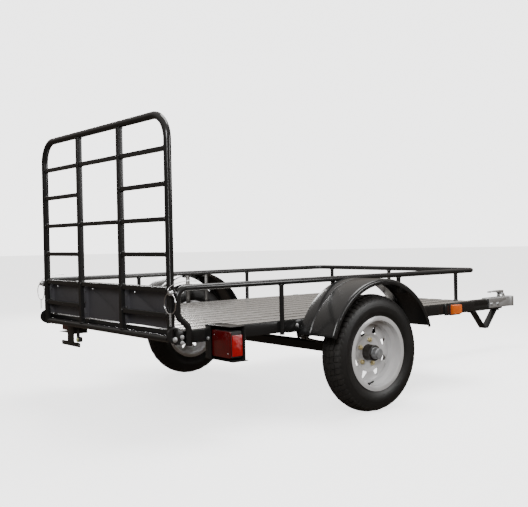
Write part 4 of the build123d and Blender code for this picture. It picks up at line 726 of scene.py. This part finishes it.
@dataclass
class Gate:
    """The fold-down ramp gate: tube hoop, uprights, rungs, three folded panels and its welds."""

    rung: float = 0.019
    bead: float = 0.0032
    screws: int = 3

    def build(self) -> None:
        """Dresses the gate and adds its welds and panel screws."""
        black = POWDER_BLACK.material()
        dress("gate_hoop", black, 0.0006, least=0.9)
        dress("gate_hinge_tube", black)
        for node in ("gate_uprights", "gate_rungs"):
            dress(node, black)
        for name in ("left", "middle", "right"):
            dress(f"gate_panel_{name}", POWDER_CHARCOAL.material(), 0.0005, least=0.9)
        dress("hinge_pins", ZINC.material(), 0.0008)
        self.welds()
        self.panel_screws()

    def welds(self) -> None:
        """A bead of weld round each rung's ends and at the uprights' ends."""
        bm = bmesh.new()
        for low, high in solids_of("gate_rungs"):
            middle = (low + high) / 2
            for x in (low.x, high.x):
                add_ring(bm, (x, middle.y, middle.z), (1, 0, 0), self.rung * 0.62, self.bead, 28, 6,
                         wobble=0.16)
        for low, high in solids_of("gate_uprights"):
            middle = (low + high) / 2
            for z in (low.z, high.z):
                add_ring(bm, (middle.x, middle.y, z), (0, 0, 1), 0.0145, self.bead, 28, 6, wobble=0.16)
        keep_piece(bm, "gate_welds", POWDER_BLACK.material(), "gate", angle=1.2)

    def panel_screws(self) -> None:
        """Small dark screws down both flanges of each panel."""
        bm = bmesh.new()
        for name in ("left", "middle", "right"):
            low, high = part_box(f"gate_panel_{name}")
            for x, way in ((low.x, 1), (high.x, -1)):
                for index in range(self.screws):
                    z = low.z + 0.022 + index * (high.z - low.z - 0.07) / (self.screws - 1)
                    add_drum(bm, (x + way * 0.0014, high.y - 0.016, z), (way, 0, 0), 0.0042, 0.0026, 16,
                             top=0.0026)
                    add_drum(bm, (x + way * 0.011, high.y - 0.0004, z), (0, 1, 0), 0.0045, 0.0022, 16,
                             top=0.0028)
        keep_piece(bm, "gate_panel_screws", HUB_BLACK.material(), "gate")


def solids_of(node: str) -> list[tuple[Vector, Vector]]:
    """The boxes of a node's separate solids.

    Args:
        node: the CAD node.

    Returns:
        The lowest and highest corner of each.
    """
    bm = bmesh.new()
    bm.from_mesh(frame["nodes"][node].data)
    bmesh.ops.remove_doubles(bm, verts=bm.verts, dist=1e-6)
    boxes, left = [], set(bm.verts)
    while left:
        island, queue = [], [left.pop()]
        while queue:
            vert = queue.pop()
            island.append(vert.co.copy())
            near = {e.other_vert(vert) for e in vert.link_edges} & left
            left -= near
            queue.extend(near)
        boxes.append((Vector(map(min, *island)), Vector(map(max, *island))))
    bm.free()
    return boxes


@dataclass
class GuardRail:
    """The bent-tube rail round the deck, its posts, and the hinge ears at its rear feet."""

    post_r: float = 0.0105
    bead: float = 0.003

    def build(self) -> None:
        """Dresses the rail, posts and ears."""
        black = POWDER_BLACK.material()
        dress("guard_rail", black)
        dress("guard_posts", black)
        dress("hinge_ears", black, 0.0012)
        bm = bmesh.new()
        for low, high in solids_of("guard_posts"):
            middle = (low + high) / 2
            add_ring(bm, (middle.x, middle.y, high.z), (0, 0, 1), self.post_r, self.bead, 28, 6, wobble=0.15)
            if low.z > 0.42:
                add_ring(bm, (middle.x, middle.y, low.z), (0, 0, 1), self.post_r, self.bead, 28, 6,
                         wobble=0.15)
        keep_piece(bm, "rail_welds", black, "chassis", angle=1.2)


@dataclass
class Latch:
    """One latch: its pin and nuts, pull ring, lock wire and tether chain."""

    side: str
    sign: int
    wire_r: float = 0.0016
    nut: float = 0.019
    link_r: float = 0.0042
    link_wire: float = 0.0008
    links: int = 8

    def build(self) -> None:
        """Dresses the pin and ring and adds what hangs on them."""
        pin, ring = f"latch_pin_{self.side}", f"latch_ring_{self.side}"
        low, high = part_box(pin)
        middle = (low + high) / 2
        dress(pin, ZINC.material(), 0.0009)
        dress(ring, WIRE.material())
        self.nuts(pin, low, middle)
        self.lock_wire(pin, middle)
        self.tether(middle)

    def nuts(self, pin: str, low: Vector, middle: Vector) -> None:
        """A nut on the pin behind the leg, with a collar.

        Args:
            pin: the pin's body.
            low: the pin's lowest corner.
            middle: the pin's centre.
        """
        bm = bmesh.new()
        add_drum(bm, (middle.x, low.y + 0.0075, middle.z), (0, 1, 0), self.nut / math.sqrt(3), 0.0065, 6,
                 roll=0.4)
        add_drum(bm, (middle.x, low.y + 0.014, middle.z), (0, 1, 0), self.nut * 0.62, 0.0018, 28,
                 chamfer=0.0004)
        keep_piece(bm, f"{pin}_nut", ZINC.material(), pin)

    def lock_wire(self, pin: str, middle: Vector) -> None:
        """A bent wire from the pin up towards the rail.

        Args:
            pin: the pin's body.
            middle: the pin's centre.
        """
        x, y, z = middle.x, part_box(pin)[0].y + 0.003, middle.z
        points = [(x - self.sign * 0.004, y, z + 0.004), (x - self.sign * 0.012, y - 0.003, z + 0.012),
                  (x - self.sign * 0.013, y + 0.012, z + 0.026), (x - self.sign * 0.013, y + 0.05, z + 0.04),
                  (x - self.sign * 0.008, y + 0.1, z + 0.046), (x, y + 0.13, z + 0.042)]
        bm = wire_along("lock_wire", points, self.wire_r)
        keep_piece(bm, f"lock_wire_{self.side}", WIRE.material(), pin)

    def tether(self, middle: Vector) -> None:
        """A short chain down from the pull ring.

        Args:
            middle: the pin's centre.
        """
        low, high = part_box(f"latch_ring_{self.side}")
        bm = bmesh.new()
        for index in range(self.links):
            place = (middle.x, (low.y + high.y) / 2, low.z + 0.001 - index * self.link_r * 1.45)
            axis = (1, 0, 0) if index % 2 else (0, 1, 0)
            add_ring(bm, place, axis, self.link_r, self.link_wire, 16, 6)
        keep_piece(bm, f"tether_chain_{self.side}", ZINC.material(), f"latch_ring_{self.side}")


@dataclass
class Tyre:
    """One trailer tyre with a zig-zag tread of blocks and moulded flanks."""

    side: str
    pitches: int = 60
    steps: tuple[float, ...] = (0.0, 0.05, 0.17, 0.22, 0.61)
    cut_steps: tuple[int, ...] = (1, 2)
    cut_depth: float = 0.0048
    groove_depth: float = 0.0062
    groove_half: float = 0.0024
    grooves: tuple[float, ...] = (-0.033, -0.0115, 0.0115, 0.033)
    zigzag: float = 0.0021
    slant: float = 0.42
    bead_r: float = 0.1545
    crown_drop: float = 0.0165

    def build(self) -> None:
        """Spins the tyre, cuts its blocks and dresses it."""
        node = f"tyre_{self.side}"
        low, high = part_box(node)
        centre = (low + high) / 2
        outer, half = (high.z - low.z) / 2, (high.x - low.x) / 2
        rows = self.section(outer, half)
        bm = bmesh.new()
        verts = [bm.verts.new((x, 0.0, r)) for x, r in rows]
        for index in range(len(verts)):
            bm.edges.new((verts[index], verts[(index + 1) % len(verts)]))
        count = self.pitches * len(self.steps)
        bmesh.ops.spin(bm, geom=[*bm.verts, *bm.edges], cent=(0, 0, 0), axis=(1, 0, 0), dvec=(0, 0, 0),
                       angle=2 * math.pi, steps=count, use_merge=True, use_duplicate=False)
        for vert in bm.verts:
            self.mould(vert, count, outer, half)
        bmesh.ops.recalc_face_normals(bm, faces=bm.faces)
        bmesh.ops.translate(bm, verts=bm.verts, vec=centre)
        finish = TyreFinish(f"tyre_rubber_{self.side}", tuple(centre), outer - 0.014, 0.186, 0.2)
        keep_piece(bm, f"{node}_finished", finish.material(), f"wheel_{self.side}", (node,),
                   0.7)

    def crown(self, x: float, outer: float) -> float:
        """The tread's radius at a distance from the middle."""
        return outer - self.crown_drop * (x / 0.052) ** 2

    def section(self, outer: float, half: float) -> list[tuple[float, float]]:
        """The closed outline that is spun.

        Args:
            outer: the tyre's radius.
            half: half the tyre's width.

        Returns:
            Pairs of distance from the middle and radius.
        """
        tread: list[tuple[float, float]] = []
        for middle in self.grooves:
            left, right = middle - self.groove_half, middle + self.groove_half
            left_top, right_top = self.crown(left, outer), self.crown(right, outer)
            tread += [(left, left_top), (left + 0.0008, left_top - self.groove_depth),
                      (right - 0.0008, right_top - self.groove_depth), (right, right_top)]
        tread.insert(8, (0.0, outer))
        edge = [(-0.0485, self.crown(-0.0485, outer)), (-0.043, self.crown(-0.043, outer))]
        flank = [(half - 0.0105, self.bead_r), (half - 0.0105, 0.1715), (half - 0.0062, 0.179),
                 (half - 0.0022, 0.192), (half - 0.0002, 0.205), (half - 0.0003, 0.213),
                 (half - 0.0012, 0.2135), (half - 0.0026, 0.228), (half - 0.0052, 0.238),
                 (half - 0.0075, 0.2445), (half - 0.0102, 0.2487)]
        left_flank = [(-x, r) for x, r in flank]
        right_edge = [(-x, r) for x, r in reversed(edge)]
        inside = [(half - 0.0225, self.bead_r), (half - 0.021, 0.19), (half - 0.022, 0.228), (0.02, 0.2505)]
        lining = inside + [(-x, r) for x, r in reversed(inside)]
        return left_flank + edge + tread + right_edge + list(reversed(flank)) + lining

    def mould(self, vert: bmesh.types.BMVert, count: int, outer: float, half: float) -> None:
        """Moves one vertex to its place in the pattern of blocks.

        Args:
            vert: the vertex, on an even spin.
            count: the spin's steps.
            outer: the tyre's radius.
            half: half the tyre's width; not used.
        """
        radius = math.hypot(vert.co.y, vert.co.z)
        angle = math.atan2(vert.co.y, vert.co.z) % (2 * math.pi)
        index = round(angle / (2 * math.pi) * count) % count
        pitch, place = divmod(index, len(self.steps))
        turn = (pitch + self.steps[place]) / self.pitches
        x = vert.co.x
        depth = self.crown(x, outer) - radius
        on_tread = abs(x) < 0.05 and depth < self.groove_depth + 0.001
        shoulder = not on_tread and radius > 0.2435 and abs(x) > 0.05
        if on_tread or shoulder:
            turn += self.slant * min(abs(x) / 0.05, 1.0) / self.pitches
        if on_tread and abs(x) < 0.036:
            x += self.zigzag * (1 if (pitch % 2) else -1)
        if place in self.cut_steps and (shoulder or (on_tread and depth < 0.001)):
            radius -= self.cut_depth * (0.5 if shoulder else 1.0)
            x -= math.copysign(0.0012, x) if shoulder else 0.0
        angle = turn * 2 * math.pi
        vert.co = (x, radius * math.sin(angle), radius * math.cos(angle))


@dataclass
class Wheel:
    """One wheel: tyre, spoke rim, hub, bearings, cap, nuts and valve."""

    side: str
    sign: int
    nut_flats: float = 0.019

    def build(self) -> None:
        """Dresses the wheel."""
        side = self.side
        Tyre(side).build()
        dress(f"rim_{side}", RIM_WHITE.material(), 0.0011, segments=2, least=0.55, angle=0.75)
        dress(f"hub_{side}", HUB_BLACK.material(), 0.0012, least=0.9)
        dress(f"bearings_{side}", BARE_STEEL.material())
        dress(f"dust_cap_{side}", GALVANISED.material(), 0.0006, least=0.9)
        dress(f"valve_stem_{side}", VALVE_RUBBER.material())
        self.nuts()
        self.valve_cap()

    def nuts(self) -> None:
        """Acorn-cone lug nuts with their stud ends."""
        node = f"lug_nuts_{self.side}"
        bm = bmesh.new()
        for low, high in solids_of(node):
            middle = (low + high) / 2
            out = high.x if self.sign > 0 else low.x
            start = out - self.sign * 0.0175
            place = (start, middle.y, middle.z)
            corner = self.nut_flats / math.sqrt(3)
            add_drum(bm, place, (self.sign, 0, 0), corner * 0.82, 0.004, 24, top=corner * 1.02)
            add_drum(bm, (start + self.sign * 0.004, *place[1:]), (self.sign, 0, 0), corner, 0.0095, 6,
                     roll=middle.y * 50)
            add_drum(bm, (start + self.sign * 0.0135, *place[1:]), (self.sign, 0, 0), self.nut_flats * 0.47,
                     0.0018, 24, top=self.nut_flats * 0.36)
            add_drum(bm, (start + self.sign * 0.0153, *place[1:]), (self.sign, 0, 0), 0.0052, 0.0022, 16,
                     chamfer=0.0008)
        keep_piece(bm, f"{node}_finished", GOLD_ZINC.material(), f"wheel_{self.side}", (node,))

    def valve_cap(self) -> None:
        """A ridged cap on the valve stem."""
        low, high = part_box(f"valve_stem_{self.side}")
        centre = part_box(f"tyre_{self.side}")
        hub = (centre[0] + centre[1]) / 2
        middle = (low + high) / 2
        inward = Vector((0, hub.y - middle.y, hub.z - middle.z)).normalized()
        way = (Vector((self.sign * 0.85, 0, 0)) + inward * 0.5).normalized()
        bm = bmesh.new()
        add_drum(bm, middle + way * 0.004, way, 0.0043, 0.0095, 12, chamfer=0.0006)
        keep_piece(bm, f"valve_cap_{self.side}", PLASTIC_BLACK.material(), f"wheel_{self.side}")


@dataclass
class RunningGear:
    """The axle beam, leaf springs, hangers and what clamps them."""

    edge: float = 0.0014

    def build(self) -> None:
        """Dresses the running gear."""
        black, zinc = POWDER_BLACK.material(), ZINC.material()
        dress("axle_beam", black, 0.0008, least=0.9)
        for side in Side:
            dress(f"leaf_spring_{side.word}", black, 0.0009, least=0.9)
        dress("spring_hangers", black, self.edge * 0.7)
        dress("spring_plates", zinc, self.edge)
        dress("u_bolts", zinc)
        dress("spring_bolts", zinc, 0.0006, least=0.9)


@dataclass
class Fenders:
    """Both round fenders, their straps, and the small clip inside each rear lower end."""

    lip: float = 0.0009
    clip_h: float = 0.05
    clip_w: float = 0.03

    def build(self) -> None:
        """Dresses the fenders and their straps and adds the clips."""
        for side in Side:
            dress(f"fender_{side.word}", POWDER_BLACK.material(), self.lip, least=0.9, angle=0.5)
            self.clip(side.word, side.value)
        dress("fender_braces", STRAP_STEEL.material(), 0.0009)
        self.strap_bolts()

    def clip(self, side: str, sign: int) -> None:
        """A yellow-passivated clip between the fender's rear end and the frame.

        Args:
            side: left or right.
            sign: -1 or 1.
        """
        low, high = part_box(f"fender_{side}")
        inner = min(abs(low.x), abs(high.x))
        bm = bmesh.new()
        corner_a = (sign * (inner + 0.004), low.y + 0.026, low.z + 0.004)
        corner_b = (sign * (inner + 0.034), low.y + 0.029, low.z + 0.004 + self.clip_h)
        add_block(bm, [min(a, b) for a, b in zip(corner_a, corner_b)],
                  [max(a, b) for a, b in zip(corner_a, corner_b)], 0.0008)
        place = (sign * (inner + 0.019), low.y + 0.029, low.z + 0.032)
        add_bolt(bm, place, (0, 1, 0), 0.01, 0.004, roll=0.3)
        keep_piece(bm, f"fender_clip_{side}", OLIVE_ZINC.material(), "chassis")

    def strap_bolts(self) -> None:
        """Hexagon bolts on washers through each strap's upper flange."""
        bm = bmesh.new()
        for low, high in solids_of("fender_braces"):
            if high.z < 0.5:
                continue
            sign = 1 if high.x > 0 else -1
            x = sign * (max(abs(low.x), abs(high.x)) - 0.008)
            y = (low.y + high.y) / 2
            add_bolt(bm, (x, y, high.z - 0.0125), (0, 0, -1), 0.011, 0.0045, roll=y * 7)
        keep_piece(bm, "fender_strap_bolts", ZINC.material(), "chassis")


@dataclass
class Lamps:
    """Tail, side, marker and plate lamps with their brackets."""

    screw_r: float = 0.0036

    def build(self) -> None:
        """Dresses the lamps and adds screws, marker bases and the plate lamp's lens."""
        black = POWDER_BLACK.material()
        dress("lamp_brackets", black, 0.0009)
        dress("tail_lamp_housings", PLASTIC_BLACK.material(), 0.002)
        dress("tail_lenses", LENS_RED.material(), 0.0022, segments=3)
        dress("side_lenses", LENS_BRIGHT.material(), 0.0016, segments=3)
        dress("marker_lamps", LENS_AMBER.material(), 0.003, segments=3, least=0.2)
        dress("plate_bracket", black, 0.0008)
        dress("plate_lamp", PLASTIC_BLACK.material(), 0.0012)
        self.screws()
        self.marker_rim()
        self.plate_lens()

    def screws(self) -> None:
        """Two screw heads in each rear lens and one bolt through each bracket."""
        bm = bmesh.new()
        for low, high in solids_of("tail_lenses"):
            sign = 1 if high.x > 0 else -1
            for x, z in ((low.x + 0.016, high.z - 0.018), (high.x - 0.016, low.z + 0.018)):
                add_drum(bm, (x, low.y + 0.0008, z), (0, -1, 0), self.screw_r, 0.0016, 20,
                         top=self.screw_r * 0.6)
            inner = low.x if sign > 0 else high.x
            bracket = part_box("lamp_brackets")[0].z
            place = (inner - sign * 0.018, low.y - 0.006, bracket + 0.082)
            add_bolt(bm, place, (0, -1, 0), 0.011, 0.0042, roll=0.5)
        keep_piece(bm, "tail_lamp_screws", ZINC.material(), "chassis")

    def marker_rim(self) -> None:
        """A black base plate under each marker lens."""
        bm = bmesh.new()
        for low, high in solids_of("marker_lamps"):
            sign = 1 if high.x > 0 else -1
            near = low.x if sign > 0 else high.x
            corners = ((near - 0.0006, low.y - 0.003, low.z - 0.003),
                       (near + sign * 0.004, high.y + 0.003, high.z + 0.003))
            add_block(bm, [min(a, b) for a, b in zip(*corners)],
                      [max(a, b) for a, b in zip(*corners)], 0.0015)
        keep_piece(bm, "marker_bases", PLASTIC_BLACK.material(), "chassis")

    def plate_lens(self) -> None:
        """The small pale lens of the plate lamp, in its face."""
        low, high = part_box("plate_lamp")
        bm = bmesh.new()
        centre = (high.x - 0.013, low.y + 0.0005, low.z + 0.013)
        add_drum(bm, centre, (0, -1, 0), 0.0095, 0.0035, 28, top=0.007)
        keep_piece(bm, "plate_lamp_lens", LENS_PLATE.material(), "chassis")


@dataclass
class Coupling:
    """The tongue, its stand and the ball coupler."""

    edge: float = 0.0016

    def build(self) -> None:
        """Dresses the tongue, the coupler and its bolts, and adds a lip to the lever."""
        black, zinc = POWDER_BLACK.material(), ZINC.material()
        dress("tongue_beam", black, 0.0008, least=0.9)
        dress("tongue_saddles", black, self.edge)
        dress("tongue_stand", black, self.edge)
        dress("coupler_body", zinc, self.edge, segments=3)
        dress("coupler_lever", zinc, 0.0012)
        dress("coupler_jaw", zinc, 0.0012)
        dress("coupler_bolts", zinc, 0.0007, least=0.9)
        self.spring_and_grip()

    def spring_and_grip(self) -> None:
        """A turned lip at the lever's tip."""
        low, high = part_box("coupler_lever")
        bm = bmesh.new()
        add_block(bm, (low.x + 0.001, low.y - 0.0012, high.z - 0.0125),
                  (high.x - 0.001, low.y + 0.0012, high.z - 0.0045), 0.0009)
        keep_piece(bm, "coupler_lever_lip", ZINC.material(), "coupler_lever")


@dataclass
class Studio:
    """A plain pale floor, soft lamps and the camera."""

    eye: tuple[float, float, float] = (3.25, -3.24, 0.782)
    yaw: float = math.radians(51.17)
    pitch: float = math.radians(-0.9)
    roll: float = -0.0188
    lens: float = 53.8
    dome_r: float = 60.0
    dome_glow: float = 3.4
    floor_glow: float = 2.15
    low_sky: tuple[float, float, float] = (0.11, 0.088, 0.07)
    high_sky: tuple[float, float, float] = (0.78, 0.74, 0.7)

    def build(self) -> None:
        """Makes the floor, lamps and camera."""
        self.floor()
        self.lamps()
        self.camera()

    def floor(self) -> None:
        """A wide pale floor inside a pale dome, which only the camera sees."""
        bm = bmesh.new()
        bmesh.ops.create_circle(bm, cap_ends=True, segments=96, radius=self.dome_r)
        floor = self.stage("floor", bm, Nodes("pale_floor"), self.floor_glow)
        floor.visible_glossy = floor.visible_diffuse = False
        bm = bmesh.new()
        bmesh.ops.create_uvsphere(bm, u_segments=96, v_segments=48, radius=self.dome_r)
        bmesh.ops.reverse_faces(bm, faces=bm.faces)
        dome = self.stage("backdrop", bm, Nodes("pale_backdrop"), self.dome_glow)
        for ray in ("diffuse", "glossy", "transmission", "shadow", "volume_scatter"):
            setattr(dome, f"visible_{ray}", False)

    def stage(self, name: str, bm: bmesh.types.BMesh, nodes: Nodes, glow: float) -> bpy.types.Object:
        """Makes a pale stage object that gives a little light of its own.

        Args:
            name: its name.
            bm: its mesh, which is freed.
            nodes: its material's nodes.
            glow: how strongly it shines.

        Returns:
            The new object.
        """
        mesh = bpy.data.meshes.new(name)
        bm.to_mesh(mesh)
        bm.free()
        nodes.set(Base_Color=(0.8, 0.8, 0.8), Roughness=0.8, Specular_IOR_Level=0.0,
                  Emission_Color=(1.0, 1.0, 1.0), Emission_Strength=glow)
        mesh.materials.append(nodes.material)
        made = bpy.data.objects.new(name, mesh)
        bpy.context.scene.collection.objects.link(made)
        return made

    def lamps(self) -> None:
        """A surround that is dim and warm low down and white overhead, and large soft lamps."""
        world = bpy.data.worlds.new("studio_surround")
        bpy.context.scene.world = world
        world.use_nodes = True
        tree = world.node_tree
        place = tree.nodes.new("ShaderNodeTexCoord").outputs["Generated"]
        apart = tree.nodes.new("ShaderNodeSeparateXYZ")
        height = tree.nodes.new("ShaderNodeValToRGB")
        stops = height.color_ramp.elements
        stops[0].position, stops[0].color = 0.0, (*self.low_sky, 1.0)
        stops[1].position, stops[1].color = 0.75, (*self.high_sky, 1.0)
        tree.links.new(place, apart.inputs["Vector"])
        tree.links.new(apart.outputs["Z"], height.inputs["Fac"])
        tree.links.new(height.outputs["Color"], tree.nodes["Background"].inputs["Color"])
        for name, place, target, power, size in (
            ("overhead", (0.4, 0.2, 4.2), (0.0, 0.0, 0.4), 210.0, 2.6),
            ("rear_key", (3.8, -4.6, 2.9), (0.2, -0.4, 0.5), 190.0, 1.7),
            ("side_fill", (4.8, 2.2, 1.9), (0.3, 0.4, 0.4), 90.0, 1.4),
            ("far_side", (-4.6, 0.8, 2.6), (0.0, 0.4, 0.4), 110.0, 1.5),
        ):
            data = bpy.data.lights.new(name, "AREA")
            data.energy, data.size = power, size
            lamp = bpy.data.objects.new(name, data)
            lamp.location = place
            lamp.rotation_euler = (Vector(target) - Vector(place)).to_track_quat("-Z", "Y").to_euler()
            bpy.context.scene.collection.objects.link(lamp)

    def camera(self) -> None:
        """A camera behind the trailer, to its right, almost level with the gate's middle."""
        level = math.cos(self.pitch)
        forward = Vector((-math.sin(self.yaw) * level, math.cos(self.yaw) * level, math.sin(self.pitch)))
        right = Vector((math.cos(self.yaw), math.sin(self.yaw), 0.0))
        up = right.cross(forward)
        across = right * math.cos(self.roll) + up * math.sin(self.roll)
        upward = up * math.cos(self.roll) - right * math.sin(self.roll)
        data = bpy.data.cameras.new("camera")
        data.lens, data.sensor_width, data.clip_end = self.lens, 36.0, 200.0
        camera = bpy.data.objects.new("camera", data)
        turn = Matrix((across, upward, -forward)).transposed().to_4x4()
        camera.matrix_world = Matrix.Translation(self.eye) @ turn
        bpy.context.scene.collection.objects.link(camera)
        bpy.context.scene.camera = camera


def main() -> None:
    """Builds every sub-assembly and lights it."""
    logging.basicConfig(level=logging.INFO, format="%(name)s: %(message)s")
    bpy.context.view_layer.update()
    parts = [DeckFrame(), Gate(), GuardRail(), RunningGear(), Fenders(), Lamps(), Coupling()]
    parts += [Latch(side.word, side.value) for side in Side]
    parts += [Wheel(side.word, side.value) for side in Side]
    for part in parts:
        part.build()
    Studio().build()


if __name__ == "__main__":
    main()
